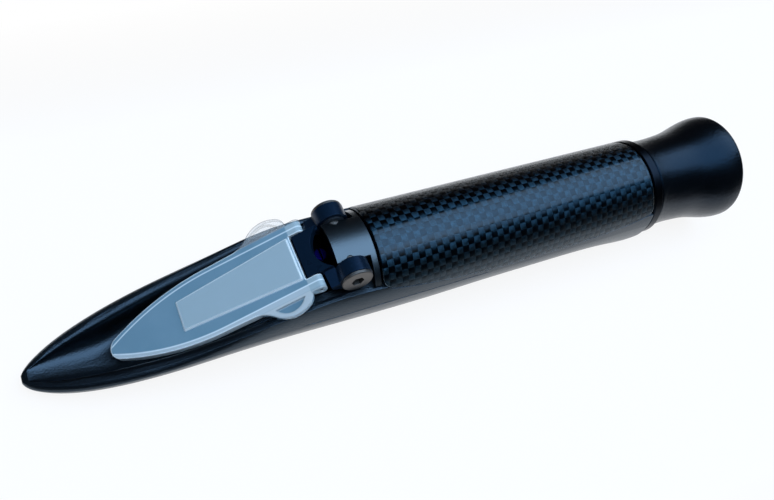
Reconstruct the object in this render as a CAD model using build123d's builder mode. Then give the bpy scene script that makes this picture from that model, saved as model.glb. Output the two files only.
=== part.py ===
"""Handheld refractometer: boat shaped body, hinged daylight plate, woven grip cover and focusing eyecup."""
from build123d import *
from math import asin, cos, degrees, radians, sin, tan
import os

os.makedirs("parts", exist_ok=True)

# Driving dimensions, in millimetres and degrees. The nose points to -X, the
# eyecup to +X, and Z is up. Stations along the body count from the nose tip,
# and rises count from the optical axis.
nose_length = 75.3
neck_length = 10.2
neck_gap = 0.4
cover_length = 84.8
ring_width = 2.8
eyecup_length = 28.9
axis_height = 17.0
barrel_radius = 14.0

# Clearances
slide_fit = 0.05
seam_gap = 0.12
loose_gap = 0.3
film_gap = 0.2

# Barrel
shell_wall = 1.6
barrel_bore = barrel_radius - shell_wall
beyond = 4 * barrel_radius
neck_step = 0.65
neck_radius = barrel_radius - neck_step
grip_length = neck_length + neck_gap + cover_length + loose_gap
overall_length = nose_length + grip_length + ring_width + loose_gap + eyecup_length
nose = -overall_length / 2
neck_front = nose + nose_length
neck_rear = neck_front + neck_length
cover_front = neck_rear + neck_gap
cover_rear = cover_front + cover_length
ring_front = cover_rear + loose_gap
ring_rear = ring_front + ring_width

# Rim of the hull beside the barrel, on the barrel's circle, and the keel, cut flat where it rests
rim_rise = 6.0
rim_share = (1 - (rim_rise / barrel_radius) ** 2) ** 0.5
keel_shave = 0.2
keel = -axis_height - keel_shave
heel = barrel_radius + 0.05
# How far out and up the flank swells between the widest line and the rim
flank_swell = 0.85
flank_rise = 0.7

# Lines of the hull: station, half width, rise of the widest line, half width
# and rise of the rim, half width and rise of the belly, and how full the belly
# is. Stations are shares of the bow or the grip, or runs back along the bay
# where the plate lies. Half widths are shares of the barrel's radius.
bay_length = 61.3
bow_length = nose_length - bay_length
bow_lines = [
    (0.0, 0.071, -13.7, 0.043, -13.1, 0.021, -14.4, 0.5),
    (0.086, 0.193, -13.5, 0.143, -12.7, 0.05, -15.2, 0.5),
    (0.243, 0.314, -13.0, 0.243, -12.1, 0.079, -15.9, 0.5),
    (0.5, 0.45, -12.2, 0.371, -11.1, 0.121, -16.5, 0.5),
    (1.0, 0.629, -10.6, 0.55, -9.4, 0.186, keel + 0.2, 0.45),
]
bay_lines = [
    (10.5, 0.793, -8.0, 0.707, -6.8, 0.243, keel, 0.38),
    (22.0, 0.893, -5.2, 0.814, -3.9, 0.257, keel, 0.34),
    (36.0, 0.95, -2.2, 0.879, 0.6, 0.257, keel, 0.32),
    (50.0, 0.986, -0.6, 0.911, 4.9, 0.257, keel, 0.32),
    (62.0, 1.0, 0.0, rim_share - 0.01, rim_rise + 0.3, 0.257, keel, 0.36),
]
grip_lines = [
    (0.112, 1.0, 0.0, rim_share, rim_rise, 0.257, keel, 0.39),
    (0.3, 1.0, 0.0, rim_share, rim_rise, 0.257, keel, 0.4),
    (0.467, 1.0, 0.0, rim_share, rim_rise, 0.257, keel, 0.36),
    (0.634, 1.0, 0.0, rim_share, rim_rise, 0.171, keel + 1.6, 0.44),
    (0.78, 1.0, 0.0, rim_share, rim_rise, 0.057, -heel, 0.54),
    (0.885, 1.0, 0.0, rim_share, rim_rise, 0.064, -heel - 0.35, 0.6),
    (1.0, 1.0, 0.0, rim_share, rim_rise, 0.071, -heel - 0.65, 0.64),
]
hull_stations = [(share * bow_length, *line) for share, *line in bow_lines]
hull_stations += [(bow_length + run, *line) for run, *line in bay_lines]
hull_stations += [(nose_length + share * grip_length, *line) for share, *line in grip_lines]

# Lines of the dish: station, half width and rise at the rim, half width and
# rise of the floor, and the reach and fall of the rounded lip inside the rim,
# measured the same way
dish_bow_lines = [
    (0.1, 0.093, -12.45, 0.021, -12.6, 0.3, 0.1),
    (0.171, 0.136, -12.2, 0.021, -12.75, 0.4, 0.2),
    (0.5, 0.293, -11.1, 0.029, -13.6, 1.0, 0.7),
    (0.929, 0.443, -9.6, 0.043, -14.7, 1.5, 1.1),
]
dish_bay_lines = [
    (5.0, 0.55, -8.2, 0.114, -15.3, 1.8, 1.5),
    (10.5, 0.629, -6.8, 0.286, -13.8, 2.0, 1.9),
    (22.0, 0.743, -3.9, 0.6, -8.3, 2.0, 2.1),
    (36.0, 0.807, 0.6, 0.707, -1.8, 1.6, 1.5),
    (46.0, 0.832, 3.8, 0.743, 2.0, 1.3, 1.2),
    (56.0, 0.829, 5.8, 0.757, 4.4, 0.9, 0.8),
    (62.0, 0.814, 6.3, 0.764, 5.0, 0.7, 0.6),
]
lip_margin = 0.35
nose_round = 0.5
dish_stations = [(share * bow_length, *line) for share, *line in dish_bow_lines]
dish_stations += [(bow_length + run, *line) for run, *line in dish_bay_lines]

# Seam of the grip cover: shares of its length and rises between its corners,
# and each corner's curve from the cover's end
seam_line = [(0.1875, 3.1), (0.408, 1.4), (0.599, 1.4), (0.791, 2.2), (0.909, 3.4)]
seam_points = [(cover_front - nose + share * cover_length, rise) for share, rise in seam_line]
seam_front_corner = [(0.0, 8.6), (0.1, 5.6), (3.6, 5.1)]
seam_rear_corner = [(-1.9, 4.6), (-0.2, 5.3), (0.0, 7.4)]
cover_edge = 0.5

# Parting groove along the side wall
groove_front = neck_front - 13.3
groove_rear = neck_front + 41.7
groove_rise = 0.3
groove_depth = 0.25
groove_width = 0.25

# Hinge
hinge_x = neck_front + 3.5
hinge_rise = neck_radius - 3.05
hinge_z = axis_height + hinge_rise
boss_radius = 4.2
boss_outer = 10.2
pocket_inner = 5.8
washer_thickness = 0.5
washer_radius = 3.3
boss_inner = pocket_inner + washer_thickness + slide_fit
pocket_rear = hinge_x + boss_radius + 1.0
ledge_rise = hinge_rise - boss_radius - 1.1
ledge_front = neck_front - 1.5
screw_head_radius = 4.0
screw_head_thickness = 0.85
screw_shank_radius = 2.1
screw_reach = 3.2
hex_size = 2.9
hex_depth = 2.4
head_chamfer = 0.2

# Daylight plate, laid out on a plane that slopes down to the nose. Runs count
# from its tip, and half widths are shares of the ears', the widest.
plate_slope = 25.17
plate_rear = 51.3
plate_slab = 1.2
plate_rim_depth = 2.0
plate_rim_width = 1.1
pad_front = 18.5
pad_rear = plate_rear - 1.8
pad_front_half = 4.6
pad_rear_half = 7.6
pad_depth = 2.2
window_front = 19.4
window_rear = plate_rear - 0.7
window_front_half = 4.0
window_rear_half = 6.0
window_height = 0.35
lug_inner = 6.4
lug_outer = 10.1
lug_radius = 1.5
pin_radius = 0.6
pin_run = plate_rear + 2.3
pin_grip = 2.0
ear_half = barrel_radius - 0.35
blade_tip_end = (1.6, 0.2 * ear_half)
blade_arc = ((11.8, 0.484 * ear_half), (29.8, 0.667 * ear_half))
ear_start = (plate_rear - 14.6, 0.681 * ear_half)
ear_arcs = [
    ((plate_rear - 12.1, 0.74 * ear_half), (plate_rear - 10.0, 0.857 * ear_half)),
    ((plate_rear - 5.7, ear_half), (plate_rear - 1.7, 0.938 * ear_half)),
    ((plate_rear - 0.2, 0.85 * ear_half), (plate_rear + 0.3, 0.74 * ear_half)),
]
ear_pocket = [(-9.5, 0.747), (-5.7, 0.916), (-1.7, 0.747)]
ear_pocket = [(plate_rear + run, share * ear_half) for run, share in ear_pocket]
ear_pocket_depth = 0.6

# Hinge yoke, laid out on the plate's plane
yoke_reach = 8.47
hinge_run = pin_run + yoke_reach
hinge_drop = -4.286
tab_gap = 0.5
tab_front = plate_rear + tab_gap
tab_half = lug_inner - loose_gap
tab_thickness = 2.4
tab_top = -0.3
arm_inner = boss_inner
arm_outer = boss_outer - 0.1
arm_gap = 0.6
arm_front = pin_run + lug_radius + arm_gap
arm_back = hinge_run - 3.57
tab_waist = arm_back - 3.2
arm_top = -1.6
arm_fall = 1.5
arm_depth = 4.0
shoulder_grip = 0.6
arm_heel_angle = 32.0

# Where the plate's plane starts, worked back from the hinge
slope_cos = cos(radians(plate_slope))
slope_sin = sin(radians(plate_slope))
plate_tip_x = hinge_x - hinge_run * slope_cos + hinge_drop * slope_sin
plate_tip_z = hinge_z - hinge_run * slope_sin - hinge_drop * slope_cos

# Prism
prism_top = pad_depth + film_gap
prism_front = pad_front - 0.5
prism_front_half = pad_front_half + 0.3
prism_rear_half = pad_rear_half + 0.3
prism_base_rise = -10.5
prism_rear_face = neck_front - 8.1
prism_length = 26.2
prism_front_face = prism_rear_face - prism_length
prism_toe_run = 1.5
prism_toe_rise = 1.4
gasket_wall = 1.0
gasket_depth = 2.4
floor_depth = prism_top + 0.2
island_half = 9.5
island_front = prism_front_face + 3.0
island_sink = 0.4
lug_room_front = prism_rear_face + 0.2 - nose
lug_room_depth = 1.6
lug_room_height = 6.0
pocket_outer = boss_outer + 1.2

# Head block
head_front = prism_rear_face + gasket_wall
head_half = 8.6
head_base_rise = -9.5
head_fit = 0.1
ramp_half = 6.2
ramp_depth = 3.2
recess_front = neck_front - 3.7
recess_half = 6.0
recess_rise = 7.2
spigot_radius = barrel_bore - 0.2
spigot_rear = neck_rear + 6.5
light_bore = 4.4
cavity_rear = neck_front + 0.5
cavity_half = 5.6
cavity_top_rise = 4.9
cavity_base_rise = -6.2

# Calibration screw and objective carriage
cal_x = neck_front - 1.8
cal_head_radius = 1.7
cal_head_height = 1.3
cal_shank_radius = 1.0
cal_slot = 0.5
cal_tip_rise = 3.2
cell_travel = 0.4
cell_length = 3.5
cell_front = cal_x - 1.7
cell_half = cavity_half - 0.4
cell_top_rise = cavity_top_rise - cell_travel - loose_gap
cell_base_rise = cavity_base_rise + 2 * cell_travel
cell_corner = 1.0
cell_nut_radius = 1.9
cell_nut_margin = 0.25
cell_nut_rise = cell_top_rise + 1.6
objective_radius = 2.7
objective_thickness = 1.8
objective_dome = 0.3
objective_seat = 0.5
objective_sink = 0.3

# Temperature compensator
strip_front = neck_front - 3.4
strip_length = 11.6
strip_width = 4.0
strip_corner = 0.6
strip_thickness = 0.6
strip_top_rise = cavity_base_rise - 0.1
strip_room = 0.6
channel_half = strip_width / 2 + 0.4
channel_base_rise = strip_top_rise - strip_thickness - 1.6
pad_x = strip_front + 6.1
comp_screw_x = strip_front + 9.1
comp_screw_radius = 0.9
comp_head_radius = 1.8
comp_head_height = 0.8
fine_slot = 0.4
fine_slot_depth = 0.3

# Optical tube
tube_room = 2.4
tube_wall = 1.0
tube_radius = barrel_bore - tube_room
tube_bore = tube_radius - tube_wall
tube_front = neck_rear + 1.1
sleeve_length = 8.2
tube_rear = ring_rear + sleeve_length
stop_x = tube_front + 31.4
stop_width = 2.0
stop_aperture = tube_bore - 3.8
stop_bevel = 1.2
holder_wall = 1.4
holder_width = 5.5
holder_seat = 2.6
disc_land = 0.9
graticule_radius = tube_bore - holder_wall
graticule_thickness = 1.5
scale_lines = 13
scale_pitch = 0.7
scale_depth = 0.08
scale_line = 0.12
scale_long = 3.2
scale_short = 1.8
scale_base = 0.4
clip_width = 0.8
clip_opening = 2.4

# Rear ring and sleeve
ring_spigot = 7.2
ring_chamfer = 0.3
sleeve_wall = 1.6
sleeve_radius = tube_radius + sleeve_wall
o_ring_x = ring_rear + 5.2
o_ring_section = 0.4
o_ring_groove = 1.1

# Eyepiece
eyecup_front = ring_rear + loose_gap
eyepiece_front = ring_front - 6.0
holder_front = eyepiece_front - 8.0
eyepiece_shoulder = tube_rear + 2.5
eyepiece_end = eyepiece_shoulder + 3.5
eyepiece_wall = 1.4
eyepiece_bore = tube_bore - eyepiece_wall
eyepiece_neck = eyepiece_bore + 0.7
eyepiece_lip = eyepiece_bore - 0.9
eyepiece_lip_width = 2.0
flange_width = 1.6
field_edge = 2.2
field_dome = 0.9
eye_edge = 2.4
eye_dome = 0.8
dome_room = 0.25
ring_outer = eyepiece_neck + 1.1
ring_lip = 0.9
spanner_slot = 1.2
spanner_depth = 0.6

# Eyecup: shares of its length and steps out from its front edge
bowl_front_radius = ring_outer + 0.5
eyecup_front_radius = barrel_radius - 0.9
eyecup_radius = eyecup_front_radius + 2.5
eyecup_lip = 2.3
bowl_rim_radius = eyecup_radius - eyecup_lip
eyecup_line = [(0.0242, 0.0), (0.173, -0.35), (0.3633, -0.2), (0.5536, 0.35), (0.7266, 1.5), (0.8789, 2.4)]
eyecup_rim_round = 1.2
eyecup_front_break = 0.5
bowl_waist = 8.5
bowl_waist_step = 0.75

# Screws from below
body_screw_x = neck_front + 1.9
body_screw_y = 5.4
body_screw_radius = 1.25
body_screw_head = 2.3
body_head_height = 1.7
body_head_rise = 3.4 - axis_height
body_screw_top_rise = head_base_rise + 2.1
cross_width = 0.6
cross_length = 2.6
cross_depth = 0.9
rear_screw_x = ring_front - ring_spigot / 2
rear_screw_radius = 0.9
rear_screw_head = 1.8
rear_head_height = 0.8
rear_head_sink = 0.1
rear_screw_reach = shell_wall + 1.6


# Frames that several pieces share
along_axis = Plane(origin=(nose, 0, axis_height), x_dir=(0, 1, 0), z_dir=(1, 0, 0))
side_plane = Plane(origin=(nose, 0, axis_height), x_dir=(1, 0, 0), z_dir=(0, -1, 0))
plate_plane = Plane(
    origin=(plate_tip_x, 0, plate_tip_z),
    x_dir=(slope_cos, 0, slope_sin),
    z_dir=(-slope_sin, 0, slope_cos),
)
plate_side = Plane(
    origin=(plate_tip_x, 0, plate_tip_z),
    x_dir=(slope_cos, 0, slope_sin),
    z_dir=(0, -1, 0),
)
plate_cross = Plane(
    origin=(plate_tip_x, 0, plate_tip_z),
    x_dir=(0, 1, 0),
    z_dir=(slope_cos, 0, slope_sin),
)
prism_plane = plate_plane.offset(-prism_top)
prism_shift = prism_top * slope_sin
prism_rear = (prism_rear_face - plate_tip_x - prism_shift) / slope_cos
gasket_rear = prism_rear + gasket_wall / slope_cos


def line_below_plate(station, depth):
    """Height over the optical axis of a line that lies a depth below the plate's plane."""
    along = station + nose - plate_tip_x
    return plate_tip_z - axis_height + along * tan(radians(plate_slope)) - depth / slope_cos


def lens_radius(half_width, dome):
    """Radius of the sphere that rises by the dome over a lens of this half width."""
    return (half_width**2 + dome**2) / (2 * dome)


def trapezoid(front, front_half, rear, rear_half, start, end, spare):
    """Corners of a tapered plan between two runs on the plate's plane, widened by a spare."""
    taper = (rear_half - front_half) / (rear - front)
    start_half = front_half + taper * (start - front) + spare
    end_half = front_half + taper * (end - front) + spare
    return [(start, -start_half), (end, -end_half), (end, end_half), (start, start_half)]


def prism_plan(start, end, spare):
    """Corners of the prism's plan between two runs, widened by a spare."""
    return trapezoid(prism_front, prism_front_half, prism_rear, prism_rear_half, start, end, spare)


def floor_line(station):
    """Height of the dish floor under the plate."""
    return line_below_plate(station, floor_depth)


def ramp_line(station):
    """Height of the head block's ramp under the yoke."""
    return line_below_plate(station, ramp_depth)


# Prism: wedge under the plate
with BuildPart() as prism:
    with BuildSketch(prism_plane):
        with BuildLine():
            Polyline(*prism_plan(prism_front, prism_rear, 0), close=True)
        make_face()
    extrude(amount=-beyond)
    with BuildSketch(side_plane):
        with BuildLine():
            Polyline(
                (prism_front_face - nose - beyond, beyond),
                (prism_front_face - nose - beyond, prism_base_rise + prism_toe_rise),
                (prism_front_face - nose - prism_toe_run, prism_base_rise + prism_toe_rise),
                (prism_front_face - nose, prism_base_rise),
                (prism_rear_face - nose, prism_base_rise),
                (prism_rear_face - nose, beyond),
                close=True,
            )
        make_face()
    extrude(amount=beyond, both=True, mode=Mode.INTERSECT)
prism.part.label = "prism"
export_step(prism.part, "parts/prism.step")

# Prism gasket: frame round the prism, from just below its face
with BuildPart() as prism_gasket:
    with BuildSketch(plate_plane.offset(-floor_depth)):
        with BuildLine():
            Polyline(*prism_plan(prism_front - gasket_wall, gasket_rear, gasket_wall), close=True)
        make_face()
        with BuildLine():
            Polyline(*prism_plan(prism_front - slide_fit, gasket_rear + gasket_wall, slide_fit), close=True)
        make_face(mode=Mode.SUBTRACT)
    extrude(amount=-gasket_depth)
    with BuildSketch(side_plane):
        with BuildLine():
            Polyline(
                (0, beyond),
                (0, -beyond),
                (prism_rear_face - nose, -beyond),
                (prism_rear_face - nose, beyond),
                close=True,
            )
        make_face()
    extrude(amount=beyond, both=True, mode=Mode.INTERSECT)
prism_gasket.part.label = "prism_gasket"
export_step(prism_gasket.part, "parts/prism_gasket.step")

# Lower body: hull, dish, prism bay and the lower half of the barrel
with BuildPart() as lower_body:
    for station, wide_part, wide_z, rim_part, rim_z, belly_part, belly_z, full in hull_stations:
        wide = wide_part * barrel_radius
        rim = rim_part * barrel_radius
        belly = belly_part * barrel_radius
        flank = rim + flank_swell * (wide - rim)
        flank_z = wide_z + flank_rise * (rim_z - wide_z)
        with BuildSketch(along_axis.offset(station)):
            with BuildLine():
                Line((-rim, rim_z), (rim, rim_z))
                Bezier((rim, rim_z), (flank, flank_z), (wide, wide_z))
                Bezier(
                    (wide, wide_z),
                    (wide, wide_z - full * (wide_z - belly_z)),
                    (belly + full * (wide - belly), belly_z),
                    (belly, belly_z),
                )
                Line((belly, belly_z), (-belly, belly_z))
                Bezier(
                    (-belly, belly_z),
                    (-belly - full * (wide - belly), belly_z),
                    (-wide, wide_z - full * (wide_z - belly_z)),
                    (-wide, wide_z),
                )
                Bezier((-wide, wide_z), (-flank, flank_z), (-rim, rim_z))
            make_face()
    loft()
    nose_face = lower_body.faces().sort_by(Axis.X)[0]
    fillet(nose_face.edges(), nose_round)
    # Dish between the rims
    for station, half_share, edge_z, floor_share, floor_z, lip_reach, lip_fall in dish_stations:
        mouth = half_share * barrel_radius + lip_margin
        wall = mouth - lip_reach
        wall_z = edge_z - lip_fall
        floor_half = min(floor_share * barrel_radius, wall - lip_margin)
        with BuildSketch(along_axis.offset(station)):
            with BuildLine():
                Bezier((mouth, edge_z), (wall, edge_z), (wall, wall_z))
                Bezier((wall, wall_z), (wall, floor_z), (floor_half, floor_z))
                Line((floor_half, floor_z), (-floor_half, floor_z))
                Bezier((-floor_half, floor_z), (-wall, floor_z), (-wall, wall_z))
                Bezier((-wall, wall_z), (-wall, edge_z), (-mouth, edge_z))
                Line((-mouth, edge_z), (-mouth, edge_z + barrel_radius))
                Line((-mouth, edge_z + barrel_radius), (mouth, edge_z + barrel_radius))
                Line((mouth, edge_z + barrel_radius), (mouth, edge_z))
            make_face()
    loft(mode=Mode.SUBTRACT)
    # Flat on the belly that the instrument rests on
    with BuildSketch(Plane.XY):
        Rectangle(3 * overall_length, 6 * barrel_radius)
    extrude(amount=-axis_height, mode=Mode.SUBTRACT)
    # Raised seat round the prism, level with the dish floor under the plate
    with BuildSketch(side_plane):
        with BuildLine():
            Polyline(
                (island_front - nose, floor_line(island_front - nose) - island_sink),
                (head_front - head_fit - nose, floor_line(head_front - head_fit - nose)),
                (head_front - head_fit - nose, head_base_rise),
                (island_front - nose, head_base_rise),
                close=True,
            )
        make_face()
    extrude(amount=island_half, both=True)
    # Prism bay
    with BuildSketch(plate_plane.offset(-floor_depth)):
        with BuildLine():
            bay_spare = gasket_wall + slide_fit
            Polyline(*prism_plan(prism_front - bay_spare, gasket_rear + gasket_wall, bay_spare), close=True)
        make_face()
    extrude(amount=-gasket_depth - slide_fit, mode=Mode.SUBTRACT)
    with BuildSketch(prism_plane):
        with BuildLine():
            bay_plan = prism_plan(prism_front - slide_fit, prism_rear + 2 * gasket_wall, slide_fit)
            Polyline(*bay_plan, close=True)
        make_face()
    prism_bay = extrude(amount=-beyond, mode=Mode.PRIVATE)
    with BuildSketch(side_plane):
        with BuildLine():
            Polyline(
                (prism_front_face - nose - beyond, beyond),
                (prism_front_face - nose - beyond, prism_base_rise + prism_toe_rise - slide_fit),
                (prism_front_face - nose - prism_toe_run, prism_base_rise + prism_toe_rise - slide_fit),
                (prism_front_face - nose, prism_base_rise - slide_fit),
                (head_front - nose, prism_base_rise - slide_fit),
                (head_front - nose, beyond),
                close=True,
            )
        make_face()
    prism_side = extrude(amount=beyond, both=True, mode=Mode.PRIVATE)
    add(prism_bay & prism_side, mode=Mode.SUBTRACT)
    # Bay of the head block, open to the top
    with BuildSketch(Plane.XY.offset(axis_height + head_base_rise - head_fit)):
        with BuildLine():
            Polyline(
                (head_front - head_fit, -head_half - head_fit),
                (neck_rear + head_fit, -head_half - head_fit),
                (neck_rear + head_fit, head_half + head_fit),
                (head_front - head_fit, head_half + head_fit),
                close=True,
            )
        make_face()
    extrude(amount=beyond, mode=Mode.SUBTRACT)
    # Room for the lugs and arms of the hinge beside the head block
    with BuildSketch(side_plane):
        with BuildLine():
            Polyline(
                (lug_room_front, floor_line(lug_room_front) + lug_room_height),
                (lug_room_front, floor_line(lug_room_front) - lug_room_depth),
                (ledge_front - nose, ledge_rise),
                (pocket_rear - nose, ledge_rise),
                (pocket_rear - nose, beyond),
                close=True,
            )
        make_face()
    extrude(amount=pocket_outer, both=True, mode=Mode.SUBTRACT)
    # Room for the round neck above the ledge
    with BuildSketch(along_axis.offset(pocket_rear - nose - 1)):
        Circle(neck_radius + head_fit)
        with Locations((0, ledge_rise - beyond / 2)):
            Rectangle(beyond, beyond, mode=Mode.SUBTRACT)
    extrude(amount=cover_front - pocket_rear + 1, mode=Mode.SUBTRACT)
    # Barrel bore
    with BuildSketch(along_axis.offset(neck_rear - nose)):
        Circle(barrel_bore)
    extrude(amount=overall_length, mode=Mode.SUBTRACT)
    # Seam under the grip cover
    with BuildSketch(side_plane):
        with BuildLine():
            cut_front = cover_front - nose - seam_gap
            cut_rear = ring_rear - nose
            cut_points = [(x, z - seam_gap) for x, z in seam_points]
            front_cut = [(cut_front + dx, z - seam_gap) for dx, z in seam_front_corner]
            rear_cut = [(cover_rear - nose + dx + seam_gap, z - seam_gap) for dx, z in seam_rear_corner]
            Line((cut_front, beyond), front_cut[0])
            Bezier(front_cut[0], front_cut[1], front_cut[2])
            Spline([front_cut[2]] + cut_points + [rear_cut[0]])
            Line(rear_cut[0], (cut_rear, rear_cut[0][1]))
            Line((cut_rear, rear_cut[0][1]), (cut_rear, beyond))
            Line((cut_rear, beyond), (cut_front, beyond))
        make_face()
    extrude(amount=beyond, both=True, mode=Mode.SUBTRACT)
    # Rear end, square to the axis in front of the ring
    with BuildSketch(along_axis.offset(ring_front - nose - seam_gap)):
        Rectangle(beyond, beyond)
    extrude(amount=beyond, mode=Mode.SUBTRACT)
    # Parting groove on both sides
    groove_middle = (groove_front + groove_rear) / 2
    groove_centre = barrel_radius - groove_depth + shell_wall
    with BuildSketch(Plane.XY.offset(axis_height + groove_rise)):
        for side in (-1, 1):
            with Locations((groove_middle, side * groove_centre)):
                Rectangle(groove_rear - groove_front, 2 * shell_wall)
    extrude(amount=groove_width, mode=Mode.SUBTRACT)
    # Screw holes from below
    with BuildSketch(Plane.XY):
        with Locations((body_screw_x, body_screw_y), (body_screw_x, -body_screw_y)):
            Circle(body_screw_head + slide_fit)
    extrude(amount=axis_height + body_head_rise + body_head_height, mode=Mode.SUBTRACT)
    with BuildSketch(Plane.XY):
        with Locations((body_screw_x, body_screw_y), (body_screw_x, -body_screw_y)):
            Circle(body_screw_radius + slide_fit)
    extrude(amount=axis_height + head_base_rise, mode=Mode.SUBTRACT)
    with BuildSketch(Plane.XY):
        with Locations((rear_screw_x, 0)):
            Circle(rear_screw_head + slide_fit)
    extrude(amount=axis_height - barrel_radius + rear_head_height, mode=Mode.SUBTRACT)
    with BuildSketch(Plane.XY):
        with Locations((rear_screw_x, 0)):
            Circle(rear_screw_radius + slide_fit)
    extrude(amount=axis_height - barrel_bore + shell_wall, mode=Mode.SUBTRACT)
lower_body.part.label = "lower_body"
export_step(lower_body.part, "parts/lower_body.step")

# Grip cover: upper half shell of the barrel
with BuildPart() as grip_cover:
    with BuildSketch(along_axis.offset(cover_front - nose)):
        Circle(barrel_radius)
        Circle(barrel_bore, mode=Mode.SUBTRACT)
    extrude(amount=cover_rear - cover_front)
    end_circles = grip_cover.edges().filter_by(GeomType.CIRCLE)
    fillet(end_circles.filter_by(lambda e: e.radius > barrel_bore + slide_fit), cover_edge)
    with BuildSketch(side_plane):
        with BuildLine():
            front_edge = [(cover_front - nose + dx, z) for dx, z in seam_front_corner]
            rear_edge = [(cover_rear - nose + dx, z) for dx, z in seam_rear_corner]
            Line((cover_front - nose, beyond), front_edge[0])
            Bezier(front_edge[0], front_edge[1], front_edge[2])
            Spline([front_edge[2]] + seam_points + [rear_edge[0]])
            Bezier(rear_edge[0], rear_edge[1], rear_edge[2])
            Line(rear_edge[2], (cover_rear - nose, beyond))
            Line((cover_rear - nose, beyond), (cover_front - nose, beyond))
        make_face()
    extrude(amount=beyond, both=True, mode=Mode.INTERSECT)
grip_cover.part.label = "grip_cover"
export_step(grip_cover.part, "parts/grip_cover.step")

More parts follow.
